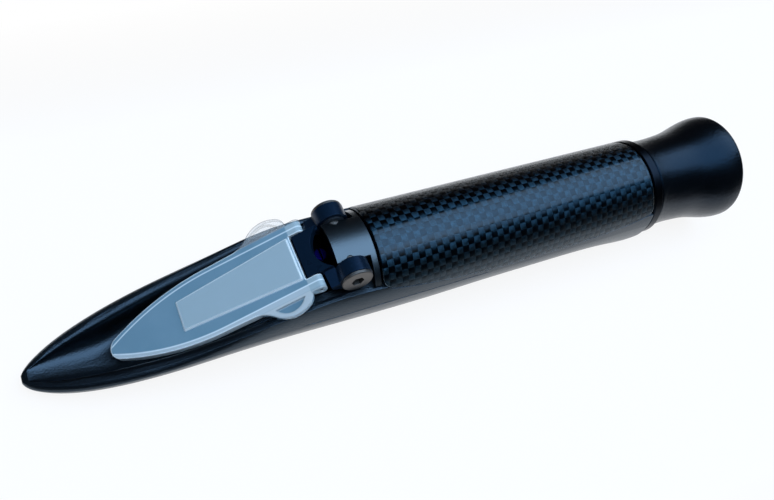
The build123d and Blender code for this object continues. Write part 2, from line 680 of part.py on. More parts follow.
# Prism head: block in the body, neck above it and spigot in the barrel
with BuildPart() as prism_head:
    with BuildSketch(Plane.XY.offset(axis_height + head_base_rise)):
        with BuildLine():
            Polyline(
                (head_front, -head_half),
                (neck_rear, -head_half),
                (neck_rear, head_half),
                (head_front, head_half),
                close=True,
            )
        make_face()
    extrude(amount=ledge_rise - head_base_rise)
    # Neck above the ledge
    with BuildSketch(along_axis.offset(neck_front - nose)):
        Circle(neck_radius)
        with Locations((0, ledge_rise - beyond / 2)):
            Rectangle(beyond, beyond, mode=Mode.SUBTRACT)
    extrude(amount=neck_rear - neck_front)
    # Ramp under the yoke, in front of the neck
    with BuildSketch(side_plane):
        with BuildLine():
            Polyline(
                (head_front - nose, ramp_line(head_front - nose)),
                (neck_front - nose, ramp_line(neck_front - nose)),
                (neck_front - nose, 0),
                (head_front - nose, 0),
                close=True,
            )
        make_face()
    extrude(amount=ramp_half, both=True)
    # Spigot in the barrel
    with BuildSketch(along_axis.offset(neck_rear - nose)):
        Circle(spigot_radius)
    extrude(amount=spigot_rear - neck_rear)
    # Recess for the calibration screw
    with BuildSketch(Plane.XY.offset(axis_height + recess_rise)):
        with Locations(((recess_front + neck_front) / 2, 0)):
            Rectangle(neck_front - recess_front, 2 * recess_half)
    extrude(amount=beyond, mode=Mode.SUBTRACT)
    # Front corners of the block clear the lugs and arms
    with BuildSketch(side_plane):
        with BuildLine():
            corner_x = head_front - gasket_wall - nose
            Polyline(
                (corner_x, beyond),
                (corner_x, floor_line(corner_x) - lug_room_depth),
                (ledge_front - nose, ledge_rise - head_fit / 2),
                (ledge_front - nose, beyond),
                close=True,
            )
        make_face()
    lug_room = extrude(amount=beyond, both=True, mode=Mode.PRIVATE)
    with BuildSketch(Plane.XY):
        for side in (-1, 1):
            with Locations((neck_front, side * (ramp_half + beyond / 2))):
                Rectangle(beyond, beyond)
    beside_ramp = extrude(amount=beyond, mode=Mode.PRIVATE)
    add(lug_room & beside_ramp, mode=Mode.SUBTRACT)
    # Side pockets of the neck
    with BuildSketch(Plane.XY.offset(axis_height + ledge_rise)):
        for side in (-1, 1):
            with Locations((pocket_rear - beyond / 2, side * (pocket_inner + beyond / 2))):
                Rectangle(beyond, beyond)
    extrude(amount=beyond, mode=Mode.SUBTRACT)
    # Cavity of the objective carriage, open to the prism
    with BuildSketch(along_axis.offset(head_front - nose)):
        with Locations((0, (cavity_top_rise + cavity_base_rise) / 2)):
            Rectangle(2 * cavity_half, cavity_top_rise - cavity_base_rise)
    extrude(amount=cavity_rear - head_front, mode=Mode.SUBTRACT)
    # Light bore and tube seat
    with BuildSketch(along_axis.offset(head_front - nose)):
        Circle(light_bore)
    extrude(amount=beyond, mode=Mode.SUBTRACT)
    with BuildSketch(along_axis.offset(tube_front - slide_fit - nose)):
        Circle(tube_radius + slide_fit)
    extrude(amount=beyond, mode=Mode.SUBTRACT)
    # Channel of the compensator strip, with a pad below its clamped end
    with BuildSketch(along_axis.offset(strip_front - strip_room - nose)):
        with Locations((0, (channel_base_rise + cavity_base_rise + slide_fit) / 2)):
            Rectangle(2 * channel_half, cavity_base_rise + slide_fit - channel_base_rise)
    extrude(amount=pad_x - strip_front + strip_room, mode=Mode.SUBTRACT)
    with BuildSketch(along_axis.offset(strip_front - strip_room - nose)):
        with Locations((0, (strip_top_rise - strip_thickness + cavity_base_rise) / 2)):
            Rectangle(2 * channel_half, cavity_base_rise - strip_top_rise + strip_thickness)
    extrude(amount=strip_length + 2 * strip_room - head_fit, mode=Mode.SUBTRACT)
    # Calibration screw hole and the room for its nut
    with BuildSketch(Plane.XY.offset(axis_height)):
        with Locations((cal_x, 0)):
            Circle(cal_shank_radius + slide_fit)
    extrude(amount=beyond, mode=Mode.SUBTRACT)
    with BuildSketch(Plane.XY.offset(axis_height)):
        with Locations((cal_x, 0)):
            Circle(cell_nut_radius + loose_gap)
    extrude(amount=cell_nut_rise + cell_travel + loose_gap, mode=Mode.SUBTRACT)
    # Tapped holes of the hinge screws
    for side in (-1, 1):
        with BuildSketch(Plane(origin=(hinge_x, side * pocket_inner, hinge_z), z_dir=(0, -side, 0))):
            Circle(screw_shank_radius + slide_fit)
        extrude(amount=screw_reach + slide_fit, mode=Mode.SUBTRACT)
    # Tapped holes of the body screws and of the strip's screw
    with BuildSketch(Plane.XY):
        with Locations((body_screw_x, body_screw_y), (body_screw_x, -body_screw_y)):
            Circle(body_screw_radius + slide_fit)
    extrude(amount=axis_height + body_screw_top_rise + slide_fit, mode=Mode.SUBTRACT)
    with BuildSketch(Plane.XY):
        with Locations((comp_screw_x, 0)):
            Circle(comp_screw_radius + slide_fit)
    extrude(amount=axis_height + strip_top_rise, mode=Mode.SUBTRACT)
    with BuildSketch(Plane.XY):
        with Locations((comp_screw_x, 0)):
            Circle(comp_head_radius + slide_fit)
    extrude(amount=axis_height + head_base_rise + comp_head_height, mode=Mode.SUBTRACT)
prism_head.part.label = "prism_head"
export_step(prism_head.part, "parts/prism_head.step")

# Hinge: screws, washers and yoke
with BuildPart() as hinge_screws:
    for side in (-1, 1):
        outward = Plane(
            origin=(hinge_x, side * boss_outer, hinge_z),
            x_dir=(1, 0, 0),
            z_dir=(0, side, 0),
        )
        with BuildSketch(outward.offset(slide_fit)):
            Circle(screw_head_radius)
        extrude(amount=screw_head_thickness)
        with BuildSketch(outward.offset(slide_fit)):
            Circle(screw_shank_radius)
        extrude(amount=-(boss_outer - pocket_inner) - screw_reach - slide_fit)
        with BuildSketch(outward.offset(slide_fit + screw_head_thickness)):
            RegularPolygon(hex_size / 2, 6, major_radius=False)
        extrude(amount=-hex_depth, mode=Mode.SUBTRACT)
    head_middle = boss_outer + screw_head_thickness / 2
    rims = hinge_screws.edges().filter_by(GeomType.CIRCLE)
    rims = rims.filter_by(lambda e: abs(e.radius - screw_head_radius) < slide_fit)
    chamfer(rims.filter_by(lambda e: abs(e.center().Y) > head_middle), head_chamfer)
hinge_screws.part.label = "hinge_screws"
export_step(hinge_screws.part, "parts/hinge_screws.step")

with BuildPart() as hinge_washers:
    for side in (-1, 1):
        pocket_wall = Plane(
            origin=(hinge_x, side * pocket_inner, hinge_z),
            x_dir=(1, 0, 0),
            z_dir=(0, side, 0),
        )
        with BuildSketch(pocket_wall):
            Circle(washer_radius)
            Circle(screw_shank_radius + slide_fit, mode=Mode.SUBTRACT)
        extrude(amount=washer_thickness)
hinge_washers.part.label = "hinge_washers"
export_step(hinge_washers.part, "parts/hinge_washers.step")

with BuildPart() as hinge_yoke:
    # Arms from the tab back to the bosses, each with its heel just inside the boss
    arm_heel = radians(arm_heel_angle)
    heel_reach = boss_radius - slide_fit
    for side in (-1, 1):
        with BuildSketch(plate_side.offset(-side * arm_inner)):
            with BuildLine():
                Polyline(
                    (arm_front, arm_top),
                    (hinge_run, arm_top),
                    (hinge_run, hinge_drop),
                    (hinge_run - heel_reach * sin(arm_heel), hinge_drop - heel_reach * cos(arm_heel)),
                    (arm_front, tab_top - arm_depth),
                    close=True,
                )
            make_face()
        extrude(amount=-side * (arm_outer - arm_inner))
    # Tops of the arms fall away to the outside
    with BuildSketch(plate_cross.offset(arm_front - tab_thickness)):
        for side in (-1, 1):
            with BuildLine():
                Polyline(
                    (side * tab_half, arm_top),
                    (side * arm_outer, arm_top - arm_fall),
                    (side * (arm_outer + arm_fall), arm_top - arm_fall),
                    (side * (arm_outer + arm_fall), 0),
                    (side * tab_half, 0),
                    close=True,
                )
            make_face()
    extrude(amount=beyond, mode=Mode.SUBTRACT)
    # Bosses
    for side in (-1, 1):
        with BuildSketch(plate_side.offset(-side * arm_inner)):
            with Locations((hinge_run, hinge_drop)):
                Circle(boss_radius)
        extrude(amount=-side * (boss_outer - arm_inner))
    # Cross tab between the lugs, hollowed by an arc at its rear
    with BuildSketch(plate_plane.offset(tab_top)):
        with BuildLine():
            Polyline(
                (arm_back, -tab_half),
                (tab_front, -tab_half),
                (tab_front, tab_half),
                (arm_back, tab_half),
            )
            ThreePointArc((arm_back, tab_half), (tab_waist, 0), (arm_back, -tab_half))
        make_face()
    extrude(amount=-tab_thickness)
    # Shoulders that join the tab to its arms
    with BuildSketch(plate_cross.offset(arm_front)):
        for side in (-1, 1):
            with BuildLine():
                Polyline(
                    (side * (tab_half - shoulder_grip), arm_top),
                    (side * tab_half, arm_top),
                    (side * arm_outer, arm_top - arm_fall),
                    (side * arm_outer, tab_top - arm_depth + arm_gap),
                    (side * arm_inner, tab_top - arm_depth + arm_gap),
                    (side * arm_inner, tab_top - tab_thickness),
                    (side * (tab_half - shoulder_grip), tab_top - tab_thickness),
                    close=True,
                )
            make_face()
    extrude(amount=arm_back - arm_front)
    # Pivot bores and pin holes
    with BuildSketch(plate_side):
        with Locations((hinge_run, hinge_drop)):
            Circle(screw_shank_radius + slide_fit)
    extrude(amount=beyond, both=True, mode=Mode.SUBTRACT)
    with BuildSketch(plate_side):
        with Locations((pin_run, -lug_radius)):
            Circle(pin_radius)
    extrude(amount=beyond, both=True, mode=Mode.SUBTRACT)
hinge_yoke.part.label = "hinge_yoke"
export_step(hinge_yoke.part, "parts/hinge_yoke.step")

# Daylight plate and its pins
blade_end = blade_arc[1]
with BuildPart() as daylight_plate:
    with BuildSketch(plate_plane):
        with BuildLine():
            ThreePointArc((blade_tip_end[0], -blade_tip_end[1]), (0, 0), blade_tip_end)
            for side in (-1, 1):
                ThreePointArc(
                    (blade_tip_end[0], side * blade_tip_end[1]),
                    (blade_arc[0][0], side * blade_arc[0][1]),
                    (blade_end[0], side * blade_end[1]),
                )
                Line((blade_end[0], side * blade_end[1]), (ear_start[0], side * ear_start[1]))
                ear_at = ear_start
                for via, end in ear_arcs:
                    ThreePointArc(*[(run, side * half) for run, half in (ear_at, via, end)])
                    ear_at = end
            Line(ear_arcs[-1][1], (ear_arcs[-1][1][0], -ear_arcs[-1][1][1]))
        make_face()
    extrude(amount=-plate_rim_depth)
    # The ears stay as thin as the slab
    with BuildSketch(plate_plane.offset(-plate_slab)):
        for side in (-1, 1):
            with Locations((ear_start[0] + beyond / 2, side * (ear_start[1] + beyond / 2))):
                Rectangle(beyond, beyond)
    extrude(amount=-plate_rim_depth, mode=Mode.SUBTRACT)
    # Hollow below the slab, which leaves a deep rim along the blade
    with BuildSketch(plate_plane.offset(-plate_slab)):
        with BuildLine():
            ThreePointArc((blade_tip_end[0], -blade_tip_end[1]), (0, 0), blade_tip_end)
            for side in (-1, 1):
                ThreePointArc(
                    (blade_tip_end[0], side * blade_tip_end[1]),
                    (blade_arc[0][0], side * blade_arc[0][1]),
                    (blade_end[0], side * blade_end[1]),
                )
                Line((blade_end[0], side * blade_end[1]), (plate_rear, side * blade_end[1]))
            Line((plate_rear, blade_end[1]), (plate_rear, -blade_end[1]))
        make_face()
        offset(amount=-plate_rim_width, mode=Mode.REPLACE)
    extrude(amount=-plate_rim_depth, mode=Mode.SUBTRACT)
    # Pads: the window stands proud above, the contact pad below
    with BuildSketch(plate_plane):
        with BuildLine():
            Polyline(
                (window_front, -window_front_half),
                (window_rear, -window_rear_half),
                (window_rear, window_rear_half),
                (window_front, window_front_half),
                close=True,
            )
        make_face()
    extrude(amount=window_height)
    with BuildSketch(plate_plane):
        with BuildLine():
            Polyline(
                (pad_front, -pad_front_half),
                (pad_rear, -pad_rear_half),
                (pad_rear, pad_rear_half),
                (pad_front, pad_front_half),
                close=True,
            )
        make_face()
    extrude(amount=-pad_depth)
    # Shallow pocket in each thumb ear, which leaves a rim round it
    with BuildSketch(plate_plane):
        for side in (-1, 1):
            with BuildLine():
                pocket_edge = [(run, side * half) for run, half in ear_pocket]
                ThreePointArc(*pocket_edge)
                Line(pocket_edge[-1], pocket_edge[0])
            make_face()
    extrude(amount=-ear_pocket_depth, mode=Mode.SUBTRACT)
    # Lugs round the pins, open in the middle for the yoke's tab
    with BuildSketch(plate_side):
        with BuildLine():
            lug_root = plate_rear - plate_rim_depth
            Line((lug_root, 0), (pin_run, 0))
            ThreePointArc((pin_run, 0), (pin_run + lug_radius, -lug_radius), (pin_run, -2 * lug_radius))
            Line((pin_run, -2 * lug_radius), (lug_root + plate_slab, -plate_slab))
            Line((lug_root + plate_slab, -plate_slab), (lug_root, -plate_slab))
            Line((lug_root, -plate_slab), (lug_root, 0))
        make_face()
    extrude(amount=lug_outer, both=True)
    with BuildSketch(plate_plane):
        with Locations((plate_rear + beyond / 2, 0)):
            Rectangle(beyond, 2 * lug_inner)
    extrude(amount=beyond, both=True, mode=Mode.SUBTRACT)
    with BuildSketch(plate_side):
        with Locations((pin_run, -lug_radius)):
            Circle(pin_radius + slide_fit)
    extrude(amount=beyond, both=True, mode=Mode.SUBTRACT)
daylight_plate.part.label = "daylight_plate"
export_step(daylight_plate.part, "parts/daylight_plate.step")

with BuildPart() as plate_pins:
    for side in (-1, 1):
        with BuildSketch(plate_side.offset(-side * (tab_half - pin_grip))):
            with Locations((pin_run, -lug_radius)):
                Circle(pin_radius)
        extrude(amount=-side * (lug_outer - loose_gap - tab_half + pin_grip))
plate_pins.part.label = "plate_pins"
export_step(plate_pins.part, "parts/plate_pins.step")

# Calibration screw, objective carriage and lens
with BuildPart() as calibration_screw:
    with BuildSketch(Plane.XY.offset(axis_height + recess_rise)):
        with Locations((cal_x, 0)):
            Circle(cal_head_radius)
    extrude(amount=cal_head_height)
    chamfer(calibration_screw.edges().group_by(Axis.Z)[-1], head_chamfer)
    with BuildSketch(Plane.XY.offset(axis_height + recess_rise)):
        with Locations((cal_x, 0)):
            Circle(cal_shank_radius)
    extrude(amount=-(recess_rise - cal_tip_rise))
    with BuildSketch(Plane.XY.offset(axis_height + recess_rise + cal_head_height)):
        with Locations((cal_x, 0)):
            Rectangle(cal_slot, beyond)
    extrude(amount=-cal_head_height / 2, mode=Mode.SUBTRACT)
calibration_screw.part.label = "calibration_screw"
export_step(calibration_screw.part, "parts/calibration_screw.step")

with BuildPart() as objective_cell:
    with BuildSketch(along_axis.offset(cell_front - nose)):
        with Locations((0, (cell_top_rise + cell_base_rise) / 2)):
            RectangleRounded(2 * cell_half, cell_top_rise - cell_base_rise, cell_corner)
    extrude(amount=cell_length)
    with BuildSketch(Plane.XY.offset(axis_height)):
        with Locations((cal_x, 0)):
            Circle(cell_nut_radius - cell_nut_margin)
    extrude(amount=cell_nut_rise)
    with BuildSketch(along_axis.offset(cell_front - nose)):
        Circle(objective_radius + slide_fit)
    extrude(amount=objective_sink + objective_thickness + slide_fit, mode=Mode.SUBTRACT)
    with BuildSketch(along_axis.offset(cell_front - nose)):
        Circle(objective_radius - objective_seat)
    extrude(amount=cell_length, mode=Mode.SUBTRACT)
    with BuildSketch(Plane.XY.offset(axis_height + objective_radius - loose_gap)):
        with Locations((cal_x, 0)):
            Circle(cal_shank_radius + slide_fit)
    extrude(amount=beyond, mode=Mode.SUBTRACT)
objective_cell.part.label = "objective_cell"
export_step(objective_cell.part, "parts/objective_cell.step")

objective_x = cell_front + objective_sink
with BuildPart() as objective_lens:
    with BuildSketch(along_axis.offset(objective_x - nose)):
        Circle(objective_radius)
    extrude(amount=objective_thickness)
    objective_curve = lens_radius(objective_radius, objective_dome)
    with Locations((objective_x + objective_curve, 0, axis_height)):
        Sphere(objective_curve, mode=Mode.INTERSECT)
objective_lens.part.label = "objective_lens"
export_step(objective_lens.part, "parts/objective_lens.step")

# Temperature compensator: strip and its screw
with BuildPart() as compensator_strip:
    with BuildSketch(Plane.XY.offset(axis_height + strip_top_rise)):
        with Locations((strip_front + strip_length / 2, 0)):
            RectangleRounded(strip_length, strip_width, strip_corner)
        with Locations((comp_screw_x, 0)):
            Circle(comp_screw_radius, mode=Mode.SUBTRACT)
    extrude(amount=-strip_thickness)
compensator_strip.part.label = "compensator_strip"
export_step(compensator_strip.part, "parts/compensator_strip.step")

with BuildPart() as compensator_screw:
    with BuildSketch(Plane.XY.offset(axis_height + head_base_rise + slide_fit)):
        with Locations((comp_screw_x, 0)):
            Circle(comp_head_radius)
    extrude(amount=comp_head_height - slide_fit)
    with BuildSketch(Plane.XY.offset(axis_height + head_base_rise + slide_fit)):
        with Locations((comp_screw_x, 0)):
            Circle(comp_screw_radius)
    extrude(amount=strip_top_rise - head_base_rise - slide_fit)
    with BuildSketch(Plane.XY.offset(axis_height + head_base_rise + slide_fit)):
        with Locations((comp_screw_x, 0)):
            Rectangle(fine_slot, beyond)
    extrude(amount=fine_slot_depth, mode=Mode.SUBTRACT)
compensator_screw.part.label = "compensator_screw"
export_step(compensator_screw.part, "parts/compensator_screw.step")

# Optical tube with its stop and graticule
with BuildPart() as inner_tube:
    with BuildSketch(along_axis.offset(tube_front - nose)):
        Circle(tube_radius)
        Circle(tube_bore, mode=Mode.SUBTRACT)
    extrude(amount=tube_rear - tube_front)
inner_tube.part.label = "inner_tube"
export_step(inner_tube.part, "parts/inner_tube.step")

with BuildPart() as light_stop:
    with BuildSketch(along_axis.offset(stop_x - nose)):
        Circle(tube_bore - slide_fit)
        Circle(stop_aperture, mode=Mode.SUBTRACT)
    extrude(amount=stop_width)
    chamfer(light_stop.faces().sort_by(Axis.X)[-1].edges().sort_by(SortBy.RADIUS)[0], stop_bevel)
light_stop.part.label = "light_stop"
export_step(light_stop.part, "parts/light_stop.step")

with BuildPart() as graticule_holder:
    with BuildSketch(along_axis.offset(holder_front - nose)):
        Circle(tube_bore - slide_fit)
        Circle(graticule_radius - disc_land, mode=Mode.SUBTRACT)
    extrude(amount=holder_width)
    with BuildSketch(along_axis.offset(holder_front - nose)):
        Circle(graticule_radius + slide_fit)
    extrude(amount=holder_seat, mode=Mode.SUBTRACT)
graticule_holder.part.label = "graticule_holder"
export_step(graticule_holder.part, "parts/graticule_holder.step")

graticule_rear = holder_front + holder_seat
with BuildPart() as graticule:
    with BuildSketch(along_axis.offset(graticule_rear - graticule_thickness - nose)):
        Circle(graticule_radius)
    extrude(amount=graticule_thickness)
    # Scale lines cut into the rear face, every fourth one longer
    with BuildSketch(along_axis.offset(graticule_rear - nose)):
        for i in range(scale_lines):
            reach = scale_long if i % 4 == 0 else scale_short
            with Locations((reach / 2 - scale_base, (i - (scale_lines - 1) / 2) * scale_pitch)):
                Rectangle(reach, scale_line)
    extrude(amount=-scale_depth, mode=Mode.SUBTRACT)
graticule.part.label = "graticule"
export_step(graticule.part, "parts/graticule.step")

with BuildPart() as graticule_clip:
    with BuildSketch(along_axis.offset(graticule_rear - graticule_thickness - clip_width - nose)):
        Circle(graticule_radius)
        Circle(graticule_radius - disc_land, mode=Mode.SUBTRACT)
        with Locations((0, -graticule_radius)):
            Rectangle(clip_opening, 4 * disc_land, mode=Mode.SUBTRACT)
    extrude(amount=clip_width)
graticule_clip.part.label = "graticule_clip"
export_step(graticule_clip.part, "parts/graticule_clip.step")

# Rear ring with its sleeve, and the focus O-ring
with BuildPart() as rear_ring:
    with BuildSketch(along_axis.offset(ring_front - nose)):
        Circle(barrel_radius)
    extrude(amount=ring_width)
    chamfer(rear_ring.edges().filter_by(GeomType.CIRCLE), ring_chamfer)
    with BuildSketch(along_axis.offset(ring_front - ring_spigot - nose)):
        Circle(barrel_bore - slide_fit)
    extrude(amount=ring_spigot)
    with BuildSketch(along_axis.offset(ring_rear - nose)):
        Circle(sleeve_radius)
    extrude(amount=tube_rear - ring_rear)
    with BuildSketch(along_axis.offset(ring_front - ring_spigot - nose)):
        Circle(tube_radius + slide_fit)
    extrude(amount=overall_length, mode=Mode.SUBTRACT)
    with BuildSketch(along_axis.offset(o_ring_x - nose - o_ring_groove / 2)):
        Circle(barrel_radius)
        Circle(sleeve_radius - 2 * o_ring_section - slide_fit, mode=Mode.SUBTRACT)
    extrude(amount=o_ring_groove, mode=Mode.SUBTRACT)
    with BuildSketch(Plane.XY.offset(axis_height - barrel_radius)):
        with Locations((rear_screw_x, 0)):
            Circle(rear_screw_radius + slide_fit)
    extrude(amount=rear_screw_reach + slide_fit, mode=Mode.SUBTRACT)
rear_ring.part.label = "rear_ring"
export_step(rear_ring.part, "parts/rear_ring.step")

with BuildPart() as focus_o_ring:
    with BuildSketch(side_plane):
        with Locations((o_ring_x - nose, sleeve_radius - o_ring_section)):
            Circle(o_ring_section)
    revolve(axis=Axis((nose, 0, axis_height), (1, 0, 0)))
focus_o_ring.part.label = "focus_o_ring"
export_step(focus_o_ring.part, "parts/focus_o_ring.step")

# Eyepiece: sliding tube, two lenses, spacer and retaining ring
with BuildPart() as eyepiece_tube:
    with BuildSketch(along_axis.offset(eyepiece_front - nose)):
        Circle(tube_bore - slide_fit)
    extrude(amount=eyepiece_shoulder - eyepiece_front)
    with BuildSketch(along_axis.offset(eyepiece_shoulder - nose)):
        Circle(eyepiece_neck)
    extrude(amount=eyepiece_end - eyepiece_shoulder)
    with BuildSketch(along_axis.offset(eyepiece_front - nose)):
        Circle(eyepiece_lip)
    extrude(amount=eyepiece_lip_width, mode=Mode.SUBTRACT)
    with BuildSketch(along_axis.offset(eyepiece_front + eyepiece_lip_width - nose)):
        Circle(eyepiece_bore)
    extrude(amount=overall_length, mode=Mode.SUBTRACT)
eyepiece_tube.part.label = "eyepiece_tube"
export_step(eyepiece_tube.part, "parts/eyepiece_tube.step")

field_x = eyepiece_front + eyepiece_lip_width + slide_fit - nose
with BuildPart() as field_lens:
    with BuildSketch(along_axis.offset(field_x)):
        Circle(eyepiece_bore - slide_fit)
    extrude(amount=field_edge + field_dome)
    field_curve = lens_radius(eyepiece_bore - slide_fit, field_dome)
    with Locations((nose + field_x + field_edge + field_dome - field_curve, 0, axis_height)):
        Sphere(field_curve, mode=Mode.INTERSECT)
field_lens.part.label = "field_lens"
export_step(field_lens.part, "parts/field_lens.step")

eye_rear = eyepiece_end - dome_room - nose
eye_front = eye_rear - eye_edge
eye_half = eyepiece_bore - slide_fit
eye_curve = lens_radius(eye_half, eye_dome)
eye_opening = degrees(asin(eye_half / eye_curve))
with BuildPart() as eye_lens:
    with BuildSketch(side_plane):
        with BuildLine():
            CenterArc((eye_front - eye_dome + eye_curve, 0), eye_curve, 180 - eye_opening, eye_opening)
            Line((eye_front - eye_dome, 0), (eye_rear + eye_dome, 0))
            CenterArc((eye_rear + eye_dome - eye_curve, 0), eye_curve, 0, eye_opening)
            Line((eye_rear, eye_half), (eye_front, eye_half))
        make_face()
    revolve(axis=Axis((nose, 0, axis_height), (1, 0, 0)))
eye_lens.part.label = "eye_lens"
export_step(eye_lens.part, "parts/eye_lens.step")

with BuildPart() as lens_spacer:
    with BuildSketch(along_axis.offset(field_x + field_edge + dome_room)):
        Circle(eyepiece_bore - slide_fit)
        Circle(eyepiece_lip, mode=Mode.SUBTRACT)
    extrude(amount=eye_front - field_x - field_edge - 2 * dome_room)
lens_spacer.part.label = "lens_spacer"
export_step(lens_spacer.part, "parts/lens_spacer.step")

ring_start = eyepiece_shoulder + flange_width + 2 * slide_fit - nose
with BuildPart() as eyepiece_ring:
    with BuildSketch(along_axis.offset(ring_start)):
        Circle(ring_outer)
        Circle(eyepiece_neck + slide_fit, mode=Mode.SUBTRACT)
    extrude(amount=eyepiece_end - nose - ring_start)
    with BuildSketch(along_axis.offset(eyepiece_end - nose)):
        Circle(ring_outer)
        Circle(eyepiece_lip, mode=Mode.SUBTRACT)
    extrude(amount=ring_lip)
    chamfer(eyepiece_ring.faces().sort_by(Axis.X)[-1].edges(), ring_chamfer)
    with BuildSketch(along_axis.offset(eyepiece_end + ring_lip - nose)):
        with PolarLocations(ring_outer, 2):
            Rectangle(2 * spanner_slot, spanner_slot)
    extrude(amount=-spanner_depth, mode=Mode.SUBTRACT)
eyepiece_ring.part.label = "eyepiece_ring"
export_step(eyepiece_ring.part, "parts/eyepiece_ring.step")

# Eyecup: turned cup that carries the eyepiece
cup_x = eyecup_front - nose
flange_x = eyepiece_shoulder + slide_fit - nose
flange_rear = flange_x + flange_width
with BuildPart() as eyecup:
    with BuildSketch(side_plane):
        with BuildLine():
            outer = [
                (cup_x + share * eyecup_length, eyecup_front_radius + step)
                for share, step in eyecup_line
            ]
            Line((cup_x, sleeve_radius + slide_fit), (cup_x, outer[0][1] - eyecup_front_break))
            Line((cup_x, outer[0][1] - eyecup_front_break), outer[0])
            Spline(outer + [(overall_length - eyecup_rim_round, eyecup_radius)])
            ThreePointArc(
                (overall_length - eyecup_rim_round, eyecup_radius),
                (overall_length, (eyecup_radius + bowl_rim_radius) / 2),
                (overall_length - eyecup_rim_round, bowl_rim_radius),
            )
            ThreePointArc(
                (overall_length - eyecup_rim_round, bowl_rim_radius),
                (overall_length - bowl_waist, bowl_front_radius + bowl_waist_step),
                (flange_rear, bowl_front_radius),
            )
            Line((flange_rear, bowl_front_radius), (flange_rear, eyepiece_neck + slide_fit))
            Line((flange_rear, eyepiece_neck + slide_fit), (flange_x, eyepiece_neck + slide_fit))
            Line((flange_x, eyepiece_neck + slide_fit), (flange_x, sleeve_radius + slide_fit))
            Line((flange_x, sleeve_radius + slide_fit), (cup_x, sleeve_radius + slide_fit))
        make_face()
    revolve(axis=Axis((nose, 0, axis_height), (1, 0, 0)))
eyecup.part.label = "eyecup"
export_step(eyecup.part, "parts/eyecup.step")

# Screws from below
with BuildPart() as body_screws:
    for side in (-1, 1):
        with BuildSketch(Plane.XY.offset(axis_height + body_head_rise)):
            with Locations((body_screw_x, side * body_screw_y)):
                Circle(body_screw_head)
        extrude(amount=body_head_height)
        with BuildSketch(Plane.XY.offset(axis_height + body_head_rise)):
            with Locations((body_screw_x, side * body_screw_y)):
                Circle(body_screw_radius)
        extrude(amount=body_screw_top_rise - body_head_rise)
        with BuildSketch(Plane.XY.offset(axis_height + body_head_rise)):
            with Locations((body_screw_x, side * body_screw_y)):
                Rectangle(cross_width, cross_length)
                Rectangle(cross_length, cross_width)
        extrude(amount=cross_depth, mode=Mode.SUBTRACT)
body_screws.part.label = "body_screws"
export_step(body_screws.part, "parts/body_screws.step")

with BuildPart() as rear_screw:
    with BuildSketch(Plane.XY.offset(axis_height - barrel_radius + rear_head_sink)):
        with Locations((rear_screw_x, 0)):
            Circle(rear_screw_head)
    extrude(amount=rear_head_height - rear_head_sink)
    with BuildSketch(Plane.XY.offset(axis_height - barrel_radius + rear_head_sink)):
        with Locations((rear_screw_x, 0)):
            Circle(rear_screw_radius)
    extrude(amount=rear_screw_reach - rear_head_sink)
    with BuildSketch(Plane.XY.offset(axis_height - barrel_radius + rear_head_sink)):
        with Locations((rear_screw_x, 0)):
            Rectangle(fine_slot, beyond)
    extrude(amount=fine_slot_depth, mode=Mode.SUBTRACT)
rear_screw.part.label = "rear_screw"
export_step(rear_screw.part, "parts/rear_screw.step")
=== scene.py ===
"""Studio picture of a handheld refractometer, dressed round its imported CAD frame.

Every piece is a node of the CAD and keeps its shape and place. This file gives
each one the finish of its real surface, and sets up the table, the room, the
lamps and the camera.
"""

import logging
import math
from dataclasses import dataclass
from enum import Enum

import bpy
from mathutils import Matrix, Vector


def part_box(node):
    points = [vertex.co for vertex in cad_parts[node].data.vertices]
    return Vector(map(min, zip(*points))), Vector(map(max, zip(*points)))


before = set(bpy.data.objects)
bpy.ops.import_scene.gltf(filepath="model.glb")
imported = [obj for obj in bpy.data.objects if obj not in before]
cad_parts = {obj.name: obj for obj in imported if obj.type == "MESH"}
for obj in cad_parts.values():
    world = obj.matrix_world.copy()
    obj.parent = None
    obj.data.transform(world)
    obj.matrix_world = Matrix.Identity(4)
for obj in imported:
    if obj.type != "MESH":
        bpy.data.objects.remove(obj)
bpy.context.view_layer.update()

MM = 0.001
WHITE = (1.0, 1.0, 1.0, 1.0)
# How many rays look for a sharp edge or a recess round a point
PROBES = 6
log = logging.getLogger("refractometer")

Colour = tuple[float, float, float, float]
Place = tuple[float, float, float]
Span = tuple[float, float]
Node = bpy.types.Node
Socket = bpy.types.NodeSocket
Tree = bpy.types.NodeTree


def linear(code: str) -> Colour:
    """Turns an sRGB hex code into a linear colour.

    Args:
        code: six hex digits after a hash mark.

    Returns:
        Red, green, blue and an alpha of 1.
    """
    parts = [int(code[i : i + 2], 16) / 255 for i in (1, 3, 5)]
    curve = [p / 12.92 if p <= 0.04045 else ((p + 0.055) / 1.055) ** 2.4 for p in parts]
    return (curve[0], curve[1], curve[2], 1.0)


def add(tree: Tree, kind: str, inputs: dict | None = None, **settings: object) -> Node:
    """Adds one node, sets its options, and fills or links its inputs.

    Args:
        tree: the tree that gets the node.
        kind: the node's type, without its leading ShaderNode.
        inputs: values or sockets by input name or number.
        settings: options of the node, by attribute name.

    Returns:
        The new node.
    """
    node = tree.nodes.new("ShaderNode" + kind)
    for name, value in settings.items():
        setattr(node, name, value)
    for name, value in (inputs or {}).items():
        if isinstance(value, Socket):
            tree.links.new(value, node.inputs[name])
        else:
            node.inputs[name].default_value = value
    return node


def paint(tree: Tree, ground: Colour | Socket, *coats: tuple[Socket, Colour | Socket]) -> Socket:
    """Lays coats of colour over a ground, each over the ones before it.

    Args:
        tree: the material's tree.
        ground: the colour below.
        coats: how much each coat covers, from 0 to 1, and its colour.

    Returns:
        The colour on top.
    """
    for share, colour in coats:
        ground = add(tree, "Mix", {0: share, 6: ground, 7: colour}, data_type="RGBA").outputs[2]
    return ground


